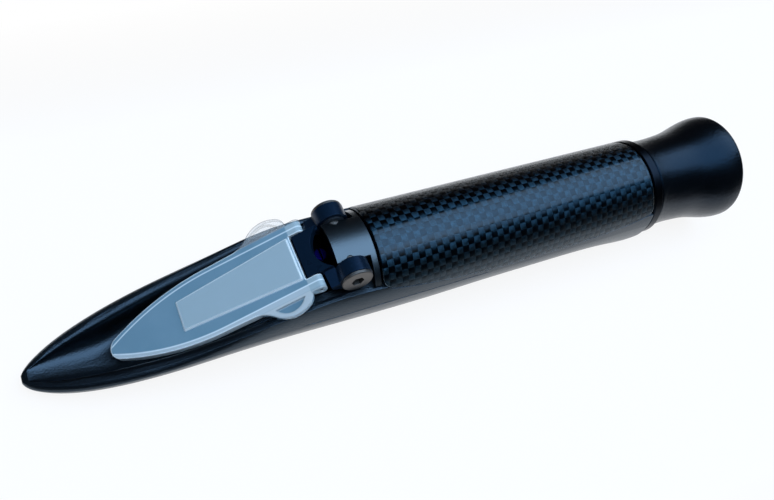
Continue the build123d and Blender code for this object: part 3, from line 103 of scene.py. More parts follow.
class Turning(Enum):
    """The direction of the spindle that a turned piece was cut on."""

    ALONG = 0
    ACROSS = 1
    UPRIGHT = 2


@dataclass(frozen=True)
class Axis:
    """The optical axis: its height and the barrel's radius, in millimetres, read from the rear ring."""

    height: float
    radius: float

    @classmethod
    def read(cls) -> "Axis":
        """Reads the axis from the ring that closes the barrel."""
        low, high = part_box("rear_ring")
        return cls((low.z + high.z) / 2 / MM, (high.z - low.z) / 2 / MM)

    def reach(self, tree: Tree, spot: Socket) -> Socket:
        """Gives how far a point lies from the axis.

        Args:
            tree: the material's tree.
            spot: the point in millimetres.

        Returns:
            The distance in millimetres.
        """
        parts = add(tree, "SeparateXYZ", {0: spot}).outputs
        rise = add(tree, "Math", {0: parts[2], 1: self.height}, operation="SUBTRACT").outputs[0]
        flat = add(tree, "CombineXYZ", {1: parts[1], 2: rise}).outputs[0]
        return add(tree, "VectorMath", {0: flat}, operation="LENGTH").outputs["Value"]


@dataclass(frozen=True)
class PlatePlane:
    """The sloping top of the daylight plate: where its tip lies, in millimetres, and its slope."""

    tip_x: float
    tip_z: float
    slope: float

    @classmethod
    def read(cls, degrees: float = 25.17, rim_depth: float = 2.0) -> "PlatePlane":
        """Reads the tip from the plate's box, whose lowest point is the foot of its rim.

        Args:
            degrees: how steeply the plate slopes at rest.
            rim_depth: how far its rim reaches below its face, in millimetres.

        Returns:
            The plane of the closed plate.
        """
        low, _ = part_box("daylight_plate")
        slope = math.radians(degrees)
        return cls(low.x / MM, low.z / MM + rim_depth * math.cos(slope), slope)

    def spread(self, tree: Tree, spot: Socket) -> tuple[Socket, Socket, Socket]:
        """Lays a point out on the plane.

        Args:
            tree: the material's tree.
            spot: the point in millimetres.

        Returns:
            Its run back from the tip, its distance from the middle, and its height over the face.
        """
        tip = {0: spot, 1: (self.tip_x, 0.0, self.tip_z)}
        away = add(tree, "VectorMath", tip, operation="SUBTRACT").outputs[0]
        run_way = (math.cos(self.slope), 0.0, math.sin(self.slope))
        rise_way = (-math.sin(self.slope), 0.0, math.cos(self.slope))
        run, side, rise = (
            add(tree, "VectorMath", {0: away, 1: way}, operation="DOT_PRODUCT").outputs["Value"]
            for way in (run_way, (0.0, 1.0, 0.0), rise_way)
        )
        return run, add(tree, "Math", {0: side}, operation="ABSOLUTE").outputs[0], rise


AXIS = Axis.read()
PLATE = PlatePlane.read()


@dataclass(frozen=True)
class Finish:
    """What one surface is made of and how it was worked.

    Every finish rounds the shading of its sharp edges by the edge's radius, so
    that each edge draws the thin light line that a broken or moulded edge has.
    The drift is how far the roughness moves either way over the surface. Every
    size in a finish is in millimetres.
    """

    name: str
    colour: str
    roughness: float
    edge: float = 0.15
    drift: float = 0.05

    def material(self) -> bpy.types.Material:
        """Builds the material on first use and gives it back after that.

        Returns:
            The material.
        """
        made = bpy.data.materials.get(self.name)
        if made is None:
            made = bpy.data.materials.new(self.name)
            made.use_nodes = True
            tree = made.node_tree
            tree.nodes.clear()
            plain = {"Base Color": linear(self.colour), "Roughness": self.roughness}
            shader = add(tree, "BsdfPrincipled", plain)
            add(tree, "OutputMaterial", {"Surface": shader.outputs[0]})
            made.diffuse_color = linear(self.colour)
            self.work(tree, shader)
        return made

    def work(self, tree: Tree, shader: Node) -> None:
        """Adds the surface's own pattern to the plain shader."""

    def place(self, tree: Tree) -> Socket:
        """Gives a point of the surface in millimetres, in the frame of the CAD."""
        spot = add(tree, "TexCoord").outputs["Object"]
        return add(tree, "VectorMath", {0: spot, "Scale": 1 / MM}, operation="SCALE").outputs[0]

    def rounded(self, tree: Tree) -> Socket:
        """Gives the normal with the sharp edges rounded off."""
        return add(tree, "Bevel", {"Radius": self.edge * MM}, samples=PROBES).outputs[0]

    def edges(self, tree: Tree, clean: float = 0.99, full: float = 0.86) -> Socket:
        """Finds the sharp edges.

        Args:
            tree: the material's tree.
            clean: how well the rounded and the flat normal agree where the edge fades out.
            full: how well they agree where it is full.

        Returns:
            1 on the edges and 0 on the faces between them.
        """
        flat = add(tree, "NewGeometry").outputs["Normal"]
        normals = {0: self.rounded(tree), 1: flat}
        same = add(tree, "VectorMath", normals, operation="DOT_PRODUCT").outputs["Value"]
        return add(tree, "MapRange", {0: same, 1: clean, 2: full}).outputs[0]

    def relief(self, tree: Tree, shader: Node, height: Socket, depth: float) -> Socket:
        """Presses a height into the shader's normal.

        Args:
            tree: the material's tree.
            shader: the shader that gets the normal.
            height: the pattern, from 0 to 1.
            depth: its real depth.

        Returns:
            The normal.
        """
        pressed = {"Strength": 1.0, "Distance": depth * MM, "Height": height, "Normal": self.rounded(tree)}
        normal = add(tree, "Bump", pressed).outputs[0]
        tree.links.new(normal, shader.inputs["Normal"])
        return normal

    def vary(self, tree: Tree, shader: Node, driver: Socket, other: str) -> Socket:
        """Lets colour and roughness drift with a pattern.

        Args:
            tree: the material's tree.
            shader: the shader that gets both.
            driver: the pattern, from 0 to 1.
            other: the colour where the pattern is 1.

        Returns:
            The drifting colour.
        """
        mixed = paint(tree, linear(self.colour), (driver, linear(other)))
        span = {0: driver, 3: self.roughness - self.drift, 4: self.roughness + self.drift}
        rough = add(tree, "MapRange", span).outputs[0]
        tree.links.new(mixed, shader.inputs["Base Color"])
        tree.links.new(rough, shader.inputs["Roughness"])
        return mixed


@dataclass(frozen=True)
class BlastedAnodise(Finish):
    """Aluminium, bead blasted and then anodised in a dark dye.

    The blast leaves a fine even grain that spreads each highlight and sparkles
    a little. The dye lets only a dark blue part of the metal through, and the
    clear oxide over it turns pale at a low angle. Handling clouds the dye in
    patches. Inside the bore radius a matt black is painted as the shade of the
    deep recesses.
    """

    other: str = "#3A4A5C"
    # Beads leave dents of about 0.1 mm, which are drawn coarser here so that they show
    bead: float = 0.45
    bead_depth: float = 0.012
    patch: float = 50 / 3
    oxide: float = 0.7
    oxide_ior: float = 1.5
    wear_and_highlight: str = "#5E7890"
    bore: float = 0.0
    bore_edge: float = 0.1
    bore_shade: str = "#030406"

    def work(self, tree: Tree, shader: Node) -> None:
        """Adds the blasted grain, a slow drift of the dye, edges paler partly from wear and partly as a
        painted highlight, and the oxide.

        Args:
            tree: the material's tree.
            shader: its plain shader.
        """
        spot = self.place(tree)
        shader.inputs["Metallic"].default_value = 1.0
        shader.inputs["Coat Weight"].default_value = self.oxide
        shader.inputs["Coat Roughness"].default_value = self.roughness
        shader.inputs["Coat IOR"].default_value = self.oxide_ior
        fine = {"Vector": spot, "Scale": 1 / self.bead, "Detail": 3.0, "Roughness": 0.6}
        grain = add(tree, "TexNoise", fine).outputs[0]
        struck = {"Vector": spot, "Scale": 1 / self.bead, "Randomness": 1.0}
        dents = add(tree, "TexVoronoi", struck).outputs["Distance"]
        height = add(tree, "Math", {0: grain, 1: dents}, operation="ADD").outputs[0]
        broad = {"Vector": spot, "Scale": 1 / self.patch, "Detail": 4.0, "Roughness": 0.55}
        handled = add(tree, "TexNoise", broad).outputs[0]
        dyed = self.vary(tree, shader, handled, self.other)
        normal = self.relief(tree, shader, height, self.bead_depth)
        tree.links.new(normal, shader.inputs["Coat Normal"])
        # The edges are painted paler, partly as wear and partly as a painted highlight where they catch the
        # light
        rubbed_and_lit = add(tree, "Math", {0: self.edges(tree), 1: grain}, operation="MULTIPLY").outputs[0]
        dyed = paint(tree, dyed, (rubbed_and_lit, linear(self.wear_and_highlight)))
        # Inside the bore radius the colour is painted black as the shade of the deep recesses, and the
        # oxide skin is left off
        if self.bore:
            span = {0: AXIS.reach(tree, spot), 1: self.bore - self.bore_edge, 2: self.bore}
            outside = add(tree, "MapRange", span).outputs[0]
            dyed = paint(tree, linear(self.bore_shade), (outside, dyed))
            skin = add(tree, "Math", {0: outside, 1: self.oxide}, operation="MULTIPLY").outputs[0]
            tree.links.new(skin, shader.inputs["Coat Weight"])
        tree.links.new(dyed, shader.inputs["Base Color"])


@dataclass(frozen=True)
class TurnedMetal(Finish):
    """Metal cut on a lathe, bare or dyed.

    The tool leaves fine rings, which draw a highlight out into a streak across
    them and give end faces a faint shine that turns with the light. Sockets and
    slots that are as deep as the recess are painted black as their shade.
    """

    other: str = "#808080"
    turning: Turning = Turning.ALONG
    # A finishing cut feeds about 0.1 mm a turn, which is drawn coarser here so that it shows
    feed: float = 0.35
    ring_depth: float = 0.004
    ring_share: float = 0.4
    scratch: float = 0.25
    recess: float = 1.2
    recess_shade: str = "#08090A"
    shaded_air: float = 0.55
    unshaded_air: float = 0.85

    def work(self, tree: Tree, shader: Node) -> None:
        """Adds the tool's rings, a light scatter of fine scratches and the painted shade in recesses.

        Args:
            tree: the material's tree.
            shader: its plain shader.
        """
        spot = self.place(tree)
        shader.inputs["Metallic"].default_value = 1.0
        along = add(tree, "SeparateXYZ", {0: spot}).outputs[self.turning.value]
        turns = add(tree, "Math", {0: along, 1: 2 * math.pi / self.feed}, operation="MULTIPLY").outputs[0]
        rings = add(tree, "Math", {0: turns}, operation="SINE").outputs[0]
        fine = {"Vector": spot, "Scale": 1 / self.scratch, "Detail": 5.0, "Roughness": 0.7}
        scratches = add(tree, "TexNoise", fine).outputs[0]
        cut = {0: rings, 1: self.ring_share, 2: scratches}
        height = add(tree, "Math", cut, operation="MULTIPLY_ADD").outputs[0]
        bare = self.vary(tree, shader, scratches, self.other)
        # Recesses are painted dark as their shade, the less open air ambient occlusion finds round them
        reach = {"Distance": self.recess * MM}
        air = add(tree, "AmbientOcclusion", reach, samples=PROBES, only_local=True).outputs["AO"]
        clean = add(tree, "MapRange", {0: air, 1: self.shaded_air, 2: self.unshaded_air}).outputs[0]
        tree.links.new(paint(tree, linear(self.recess_shade), (clean, bare)), shader.inputs["Base Color"])
        self.relief(tree, shader, height, self.ring_depth)


@dataclass(frozen=True)
class MouldedPolymer(Finish):
    """Black nylon, moulded in a spark-eroded tool.

    The tool's grain gives a soft sheen with tiny pits, and the resin's gloss
    shows only at a low angle.
    """

    other: str = "#14181D"
    # Eroded grain is about 0.2 mm across, which is drawn coarser here so that it shows
    grain: float = 0.45
    grain_depth: float = 0.02
    cloud: float = 25 / 3
    sheen: str = "#9DB4CC"
    ior: float = 1.53

    def work(self, tree: Tree, shader: Node) -> None:
        """Adds the eroded grain and the slow cloudiness of filled resin.

        Args:
            tree: the material's tree.
            shader: its plain shader.
        """
        spot = self.place(tree)
        shader.inputs["Specular Tint"].default_value = linear(self.sheen)
        shader.inputs["IOR"].default_value = self.ior
        fine = {"Vector": spot, "Scale": 1 / self.grain, "Detail": 4.0, "Roughness": 0.65}
        pits = add(tree, "TexNoise", fine).outputs[0]
        broad = {"Vector": spot, "Scale": 1 / self.cloud, "Detail": 3.0}
        self.vary(tree, shader, add(tree, "TexNoise", broad).outputs[0], self.other)
        self.relief(tree, shader, pits, self.grain_depth)


@dataclass(frozen=True)
class WovenCarbon(Finish):
    """Carbon cloth in a plain weave under a clear, polished lacquer.

    Tows that run along the barrel spread light round it and tows that run
    round it spread light along it, so neighbouring squares light up by turns.
    The lacquer lays a thin smooth reflection over them, and a light line is
    painted on the cut edges as their highlight.
    """

    other: str = "#141D27"
    tow: float = 1.75
    # A carbon fibre is 0.007 mm thick, so each line stands for a bundle of them
    fibre: float = 0.24
    crown: float = 0.05
    fibre_depth: float = 0.022
    resin: float = 10 / 13
    weft_painted_step: float = 0.7
    stretch: float = 0.65
    quarter_turn: float = 0.25
    lacquer: float = 0.34
    lacquer_roughness: float = 0.12
    lacquer_ior: float = 1.5
    peel: float = 10 / 7
    peel_depth: float = 0.004
    sunk_share: float = 2.0
    cut: str = "#8FA6BA"

    def unroll(self, tree: Tree) -> tuple[Socket, Socket]:
        """Lays the cloth flat.

        Args:
            tree: the material's tree.

        Returns:
            A point's run along the barrel and its way round it, both counted in tows.
        """
        spot = add(tree, "SeparateXYZ", {0: self.place(tree)}).outputs
        rise = add(tree, "Math", {0: spot[2], 1: AXIS.height}, operation="SUBTRACT").outputs[0]
        turn = add(tree, "Math", {0: spot[1], 1: rise}, operation="ARCTAN2").outputs[0]
        along, around = (
            add(tree, "Math", {0: way, 1: length / self.tow}, operation="MULTIPLY").outputs[0]
            for way, length in ((spot[0], 1.0), (turn, AXIS.radius))
        )
        return along, around

    def weave(self, tree: Tree) -> tuple[Socket, Socket, Socket]:
        """Weaves the tows.

        Args:
            tree: the material's tree.

        Returns:
            1 where the weft is on top, the crown of each tow, and the waves of its fibres.
        """
        along, around = self.unroll(tree)
        cells, crowns = [], []
        for way in (along, around):
            cells.append(add(tree, "Math", {0: way}, operation="FLOOR").outputs[0])
            inside = add(tree, "Math", {0: way}, operation="FRACT").outputs[0]
            angle = add(tree, "Math", {0: inside, 1: math.pi}, operation="MULTIPLY").outputs[0]
            crowns.append(add(tree, "Math", {0: angle}, operation="SINE").outputs[0])
        total = add(tree, "Math", {0: cells[0], 1: cells[1]}, operation="ADD").outputs[0]
        weft = add(tree, "Math", {0: total, 1: 2.0}, operation="FLOORED_MODULO").outputs[0]
        pillow = add(tree, "Math", {0: crowns[0], 1: crowns[1]}, operation="MULTIPLY").outputs[0]
        across = add(tree, "Mix", {0: weft, 2: around, 3: along}, data_type="FLOAT").outputs[0]
        per_tow = 2 * math.pi * self.tow / self.fibre
        lines = add(tree, "Math", {0: across, 1: per_tow}, operation="MULTIPLY").outputs[0]
        return weft, pillow, add(tree, "Math", {0: lines}, operation="SINE").outputs[0]

    def varnish(self, tree: Tree, shader: Node, pillow: Socket) -> None:
        """Lays the lacquer over the cloth, sunk a little between the tows.

        Args:
            tree: the material's tree.
            shader: its plain shader.
            pillow: the crown of each tow.
        """
        shader.inputs["Coat Weight"].default_value = self.lacquer
        shader.inputs["Coat Roughness"].default_value = self.lacquer_roughness
        shader.inputs["Coat IOR"].default_value = self.lacquer_ior
        soft = {"Vector": self.place(tree), "Scale": 1 / self.peel, "Detail": 1.0}
        peel = add(tree, "TexNoise", soft).outputs[0]
        level = {0: pillow, 1: self.sunk_share, 2: peel}
        sunk = add(tree, "Math", level, operation="MULTIPLY_ADD").outputs[0]
        depth = self.peel_depth * MM
        skin = {"Strength": 1.0, "Distance": depth, "Height": sunk, "Normal": self.rounded(tree)}
        tree.links.new(add(tree, "Bump", skin).outputs[0], shader.inputs["Coat Normal"])

    def work(self, tree: Tree, shader: Node) -> None:
        """Adds the woven squares, their crowns and fibres, the painted highlight on the cut edges and the
        lacquer.

        Args:
            tree: the material's tree.
            shader: its plain shader.
        """
        weft, pillow, fibres = self.weave(tree)
        uneven = {"Vector": self.place(tree), "Scale": 1 / self.resin, "Detail": 4.0, "Roughness": 0.7}
        soaked = add(tree, "TexNoise", uneven).outputs[0]
        frayed = add(tree, "Math", {0: fibres, 1: soaked}, operation="MULTIPLY").outputs[0]
        cloth = {0: frayed, 1: self.fibre_depth / self.crown, 2: pillow}
        height = add(tree, "Math", cloth, operation="MULTIPLY_ADD").outputs[0]
        # The weft squares are painted a step apart in colour from the warp squares, as a painted reflection
        # of how their tows catch the light
        checks = {0: weft, 1: self.weft_painted_step, 2: soaked}
        shade = add(tree, "Math", checks, operation="MULTIPLY_ADD").outputs[0]
        # A pale line is painted on the cut edges as their highlight
        tint = paint(tree, self.vary(tree, shader, shade, self.other), (self.edges(tree), linear(self.cut)))
        tree.links.new(tint, shader.inputs["Base Color"])
        self.relief(tree, shader, height, self.crown)
        shader.inputs["Metallic"].default_value = 1.0
        shader.inputs["Anisotropic"].default_value = self.stretch
        turned = add(tree, "Math", {0: weft, 1: self.quarter_turn}, operation="MULTIPLY").outputs[0]
        tree.links.new(turned, shader.inputs["Anisotropic Rotation"])
        lay = add(tree, "Tangent", direction_type="RADIAL", axis="X").outputs[0]
        tree.links.new(lay, shader.inputs["Tangent"])
        self.varnish(tree, shader, pillow)


@dataclass(frozen=True)
class HazyPolycarbonate(Finish):
    """Clear polycarbonate, moulded, with a frosted underside below the blade.

    The blade carries a blue haze, the raised window and the lugs are paler, and
    a pale line is painted on every moulded edge as the light that it gathers.
    The far ear is clear right through, and its edges are painted with a grey
    shade. The near one, which the thumb lifts, is scuffed. Each pair of
    numbers is where a region begins and where it is full: a run is counted back
    from the tip, a half out from the middle and a rise up from the face.
    """

    other: str = "#8CAEC2"
    window: str = "#B7CCD6"
    gathered_light: str = "#E6EEF2"
    clear: str = "#EEF3F6"
    shaded: str = "#8C8884"
    ior: float = 1.58
    clearness: float = 0.35
    haze: float = 100 / 11
    flow: float = 20 / 7
    flow_depth: float = 0.01
    arc: tuple[tuple[float, float], ...] = ((1.6, 2.73), (11.8, 6.607), (29.8, 9.105))
    rim_width: float = 1.1
    window_rise: Span = (0.1, 0.3)
    rim_rise: Span = (-0.4, -0.2)
    wall_rise: Span = (-0.15, -0.35)
    wall_light: float = 0.8
    border_step: Span = (0.1, -0.1)
    line_step: Span = (0.26, 0.1)
    line_light: float = 0.7
    line_body: float = 0.45
    lug_run: Span = (51.2, 51.5)
    lug_half: Span = (6.3, 6.5)
    ear_half: Span = (9.3, 9.7)
    ear_roughness: float = 0.08
    ear_scuffs: float = 0.85
    ear_haze: float = 0.2
    far_side: Span = (-0.5, 0.5)
    edge_clean: float = 0.998
    edge_full: float = 0.95

    def inset(self, tree: Tree, run: Socket, side: Socket) -> Socket:
        """Gives how far a point lies inside the blade's outline.

        Args:
            tree: the material's tree.
            run: the point's run back from the tip.
            side: its distance from the middle.

        Returns:
            The distance, from the arc of the outline or from its straight rear part.
        """
        first, middle, last = (Vector(point) for point in self.arc)
        a, b = middle - first, last - first
        turn = 2 * (a.x * b.y - a.y * b.x)
        offset_run = (b.y * a.length_squared - a.y * b.length_squared) / turn
        offset_side = (a.x * b.length_squared - b.x * a.length_squared) / turn
        offset = Vector((offset_run, offset_side))
        centre = first + offset
        flat = add(tree, "CombineXYZ", {0: run, 1: side}).outputs[0]
        ends = {0: flat, 1: (centre.x, centre.y, 0.0)}
        away = add(tree, "VectorMath", ends, operation="DISTANCE").outputs["Value"]
        round_part = add(tree, "Math", {0: offset.length, 1: away}, operation="SUBTRACT").outputs[0]
        straight_part = add(tree, "Math", {0: last.y, 1: side}, operation="SUBTRACT").outputs[0]
        behind = add(tree, "Math", {0: run, 1: last.x}, operation="GREATER_THAN").outputs[0]
        parts = {0: behind, 2: round_part, 3: straight_part}
        return add(tree, "Mix", parts, data_type="FLOAT").outputs[0]

    def work(self, tree: Tree, shader: Node) -> None:
        """Adds the haze of the blade, the window, the painted light lines, the painted shade on the far
        ear's edges and the clear ears.

        Args:
            tree: the material's tree.
            shader: its plain shader.
        """
        spot = self.place(tree)
        run, side, rise = PLATE.spread(tree, spot)
        y = add(tree, "SeparateXYZ", {0: spot}).outputs[1]

        # Where the point lies
        raised, rim, rear, beside, ear, far = (
            add(tree, "MapRange", {0: measure, 1: begin, 2: full}).outputs[0]
            for measure, (begin, full) in (
                (rise, self.window_rise),
                (rise, self.rim_rise),
                (run, self.lug_run),
                (side, self.lug_half),
                (side, self.ear_half),
                (y, self.far_side),
            )
        )
        blade, near = (add(tree, "MapRange", {0: part, 3: 1.0, 4: 0.0}).outputs[0] for part in (ear, far))
        lug, far_ear = (
            add(tree, "Math", {0: first, 1: second}, operation="MULTIPLY").outputs[0]
            for first, second in ((rear, beside), (far, ear))
        )

        # How much painted light its edges get there
        inward = {0: self.inset(tree, run, side), 1: self.rim_width}
        step = add(tree, "Math", inward, operation="SUBTRACT").outputs[0]
        off_step = add(tree, "Math", {0: step}, operation="ABSOLUTE").outputs[0]
        lines = []
        for measure, (begin, full), strength in (
            (rise, self.wall_rise, self.wall_light),
            (step, self.border_step, self.line_light),
            (off_step, self.line_step, self.line_light),
        ):
            line = add(tree, "MapRange", {0: measure, 1: begin, 2: full, 4: strength}).outputs[0]
            lines.append(add(tree, "Math", {0: line, 1: blade}, operation="MULTIPLY").outputs[0])
        wall, border, line = lines
        border = add(tree, "Math", {0: border, 1: near}, operation="MULTIPLY").outputs[0]
        edges = self.edges(tree, self.edge_clean, self.edge_full)
        light = add(tree, "Math", {0: edges, 1: line}, operation="MAXIMUM").outputs[0]

        # Its colour
        cloudy = {"Vector": spot, "Scale": 1 / self.haze, "Detail": 3.0}
        haze = add(tree, "TexNoise", cloudy).outputs[0]
        window, pale = linear(self.window), linear(self.gathered_light)
        hazy = paint(tree, linear(self.colour), (haze, linear(self.other)), (raised, window))
        # The walls, borders and ear rims get pale lines of painted light
        hazy = paint(tree, hazy, (wall, pale), (border, pale))
        ears = paint(tree, hazy, (rim, pale), (far, linear(self.clear)))
        # The far ear's edges are painted grey as shade
        outline = paint(tree, pale, (far_ear, linear(self.shaded)))
        tint = paint(tree, hazy, (ear, ears), (lug, window), (light, outline))
        tree.links.new(tint, shader.inputs["Base Color"])

        # How clear, how solid and how smooth it is
        scuffed = add(tree, "MapRange", {0: far, 3: self.ear_scuffs, 4: self.ear_haze}).outputs[0]
        lined = add(tree, "MapRange", {0: light, 3: scuffed, 4: self.line_body}).outputs[0]
        for name, measure, low, high in (
            ("Transmission Weight", light, self.clearness, 0.0),
            ("Alpha", ear, 1.0, lined),
            ("Roughness", ear, self.roughness, self.ear_roughness),
        ):
            level = add(tree, "MapRange", {0: measure, 3: low, 4: high}).outputs[0]
            tree.links.new(level, shader.inputs[name])
        shader.inputs["IOR"].default_value = self.ior
        streaky = {"Vector": spot, "Scale": 1 / self.flow, "Detail": 2.0}
        self.relief(tree, shader, add(tree, "TexNoise", streaky).outputs[0], self.flow_depth)


@dataclass(frozen=True)
class CoatedGlass(Finish):
    """Optical glass, polished, with a thin magnesium fluoride coat.

    It is clear with a trace of green, and its reflection keeps a weak violet tint.
    """

    drift: float = 0.01
    other: str = "#E6F2EC"
    coat: str = "#C9B8F2"
    ior: float = 1.52
    sleek: float = 1 / 3
    sleek_depth: float = 0.0004

    def work(self, tree: Tree, shader: Node) -> None:
        """Adds the coat's tint and the faint sleeks of polishing.

        Args:
            tree: the material's tree.
            shader: its plain shader.
        """
        spot = self.place(tree)
        shader.inputs["IOR"].default_value = self.ior
        shader.inputs["Transmission Weight"].default_value = 1.0
        shader.inputs["Specular Tint"].default_value = linear(self.coat)
        fine = {"Vector": spot, "Scale": 1 / self.sleek, "Detail": 6.0, "Roughness": 0.8}
        sleeks = add(tree, "TexNoise", fine).outputs[0]
        self.vary(tree, shader, sleeks, self.other)
        self.relief(tree, shader, sleeks, self.sleek_depth)


@dataclass(frozen=True)
class SealRubber(Finish):
    """Nitrile rubber, moulded.

    It is matt and slightly grey with a bloom of dust that the seal picks up.
    """

    drift: float = 0.06
    other: str = "#2A2B2D"
    ior: float = 1.5
    bloom: float = 1.25
    grain: float = 1 / 6
    grain_depth: float = 0.01

    def work(self, tree: Tree, shader: Node) -> None:
        """Adds the bloom and a fine dry grain.

        Args:
            tree: the material's tree.
            shader: its plain shader.
        """
        spot = self.place(tree)
        shader.inputs["IOR"].default_value = self.ior
        dusty = {"Vector": spot, "Scale": 1 / self.bloom, "Detail": 5.0, "Roughness": 0.7}
        dry = {"Vector": spot, "Scale": 1 / self.grain, "Detail": 2.0}
        self.vary(tree, shader, add(tree, "TexNoise", dusty).outputs[0], self.other)
        self.relief(tree, shader, add(tree, "TexNoise", dry).outputs[0], self.grain_depth)


class Finishes:
    """The finishes of this instrument, one for each slot of the record and a few shades of them."""

    # An even blue black satin that is nearly black where it turns away from the lamp
    body = BlastedAnodise(
        "anodised_blasted_body", "#212F3A", 0.36, other="#2A3844", bead_depth=0.03, oxide=0.4
    )
    # The same a shade lighter, with pale edges that are partly worn and partly a painted highlight, and a
    # painted black shade in the bore
    neck = BlastedAnodise(
        "anodised_blasted_neck", "#324049", 0.34, other="#394954", bore=12.9, oxide=1.0, wear_and_highlight="#8AA0B2"
    )
    # Dark checks that light up by turns, also painted a step apart as reflection, under a smooth clear skin
    weave = WovenCarbon("carbon_weave_lacquered", "#264050", 0.24, other="#162631")
    # Black dye with a narrow light line on each edge
    ring = TurnedMetal("anodised_turned_black", "#10151C", 0.3, other="#1A212A")
    # Grained black with a broad soft blue sheen
    cup = MouldedPolymer(
        "nylon_moulded_cup", "#030405", 0.24, other="#080A0D", grain=0.9, grain_depth=0.1, sheen="#5687B0"
    )
    # Smooth blue black, a little glossier than the housing
    yoke = MouldedPolymer(
        "nylon_moulded_yoke", "#081522", 0.28, other="#0C1B2B", grain_depth=0.008, sheen="#5A86BE"
    )
    # A blue haze in the blade, clear at the ears, with a pale line of painted light at each edge
    plate = HazyPolycarbonate("polycarbonate_moulded_clear", "#729BB0", 0.22, edge=0.6)
    # Warm grey plating, dull on the face, with a painted black shade in the socket
    screw = TurnedMetal("steel_turned_nickelled", "#74716F", 0.5, other="#65625F", turning=Turning.ACROSS)
    # Flat black, hardly seen between boss and neck
    washer = MouldedPolymer("nylon_moulded_washer", "#101114", 0.4, other="#18191C")
    # Violet anodising, whose colour also stands in as a painted violet glint in the dark recess
    violet = TurnedMetal("anodised_turned_violet", "#0B0640", 0.3, other="#100A52", turning=Turning.UPRIGHT)
    # Nearly colourless, with a weak violet reflection
    glass = CoatedGlass("optical_glass_polished", "#F2F8F5", 0.02)
    # Dry grey black without gloss
    rubber = SealRubber("nitrile_rubber_moulded", "#17181A", 0.6)
    # Yellow metal with a fine streaked shine
    brass = TurnedMetal("brass_turned", "#B58E45", 0.32, other="#A47E3A")
    # Pale steel that goes over to a warmer alloy
    bimetal = TurnedMetal("bimetal_rolled", "#A8A19A", 0.35, other="#B5A38C", turning=Turning.ACROSS)
    # Matt black, which keeps stray light out of the tube
    tube = TurnedMetal("anodised_turned_matt", "#15171A", 0.5, other="#1D1F23")
    # Bright drawn wire with a sharp streak along it
    clip = TurnedMetal("spring_steel_drawn", "#8E9093", 0.28, other="#7C7E81")


def dress(finish: Finish, *nodes: str) -> None:
    """Gives CAD nodes their finish in every slot.

    Args:
        finish: what the nodes are made of.
        nodes: their names in the record.
    """
    for name in nodes:
        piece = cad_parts[name]
        if not piece.material_slots:
            piece.data.materials.append(finish.material())
        for slot in piece.material_slots:
            slot.material = finish.material()
        log.info("%s is dressed in %s", name, finish.name)


@dataclass
class Housing:
    """The boat shaped body, the woven grip cover over it and the ring behind them."""

    def build(self) -> None:
        """Dresses the outer shells and their screws."""
        dress(Finishes.body, "lower_body")
        dress(Finishes.weave, "grip_cover")
        dress(Finishes.ring, "rear_ring")
        dress(Finishes.screw, "body_screws", "rear_screw")


@dataclass
class PrismEnd:
    """The neck with its prism, its hinge screws and the carriage that sets the scale."""

    def build(self) -> None:
        """Dresses the neck and what it carries."""
        dress(Finishes.neck, "prism_head")
        dress(Finishes.glass, "prism", "objective_lens")
        dress(Finishes.rubber, "prism_gasket")
        dress(Finishes.screw, "hinge_screws", "compensator_screw")
        dress(Finishes.washer, "hinge_washers")
        dress(Finishes.violet, "calibration_screw")
        dress(Finishes.brass, "objective_cell")
        dress(Finishes.bimetal, "compensator_strip")


@dataclass
class DaylightPlate:
    """The clear plate and the forked yoke that it hangs on."""

    def build(self) -> None:
        """Dresses the plate, its yoke and its pins."""
        dress(Finishes.plate, "daylight_plate")
        dress(Finishes.yoke, "hinge_yoke")
        dress(Finishes.screw, "plate_pins")


@dataclass
class OpticalTube:
    """The inner tube with its stop and the glass scale."""

    def build(self) -> None:
        """Dresses the tube and its rings."""
        dress(Finishes.tube, "inner_tube", "light_stop", "graticule_holder")
        dress(Finishes.glass, "graticule")
        dress(Finishes.clip, "graticule_clip")


@dataclass
class Eyepiece:
    """The sliding lens tube, its ring and the cup that turns it."""

    def build(self) -> None:
        """Dresses the lenses, the ring and the cup."""
        dress(Finishes.tube, "eyepiece_tube", "lens_spacer")
        dress(Finishes.glass, "field_lens", "eye_lens")
        dress(Finishes.ring, "eyepiece_ring")
        dress(Finishes.rubber, "focus_o_ring")
        dress(Finishes.cup, "eyecup")


@dataclass(frozen=True)
class Lamp:
    """A rectangular soft lamp: size in metres, energy in watts, its turn about its own axis in degrees."""

    name: str
    place: Place
    size: tuple[float, float]
    energy: float
    colour: str
    aim: Place
    turn: float = 0.0

    def hang(self) -> None:
        """Hangs the lamp and turns it to what it lights."""
        lamp = bpy.data.lights.new(self.name, "AREA")
        lamp.shape = "RECTANGLE"
        lamp.size, lamp.size_y = self.size
        lamp.energy = self.energy
        lamp.color = linear(self.colour)[:3]
        box = bpy.data.objects.new(self.name, lamp)
        box.location = self.place
        way = Vector(self.aim) - Vector(self.place)
        aimed = way.to_track_quat("-Z", "Y").to_matrix()
        box.rotation_euler = (aimed @ Matrix.Rotation(math.radians(self.turn), 3, "Z")).to_euler()
        bpy.context.scene.collection.objects.link(box)
        log.info("%s hangs %.2f m up", self.name, self.place[2])


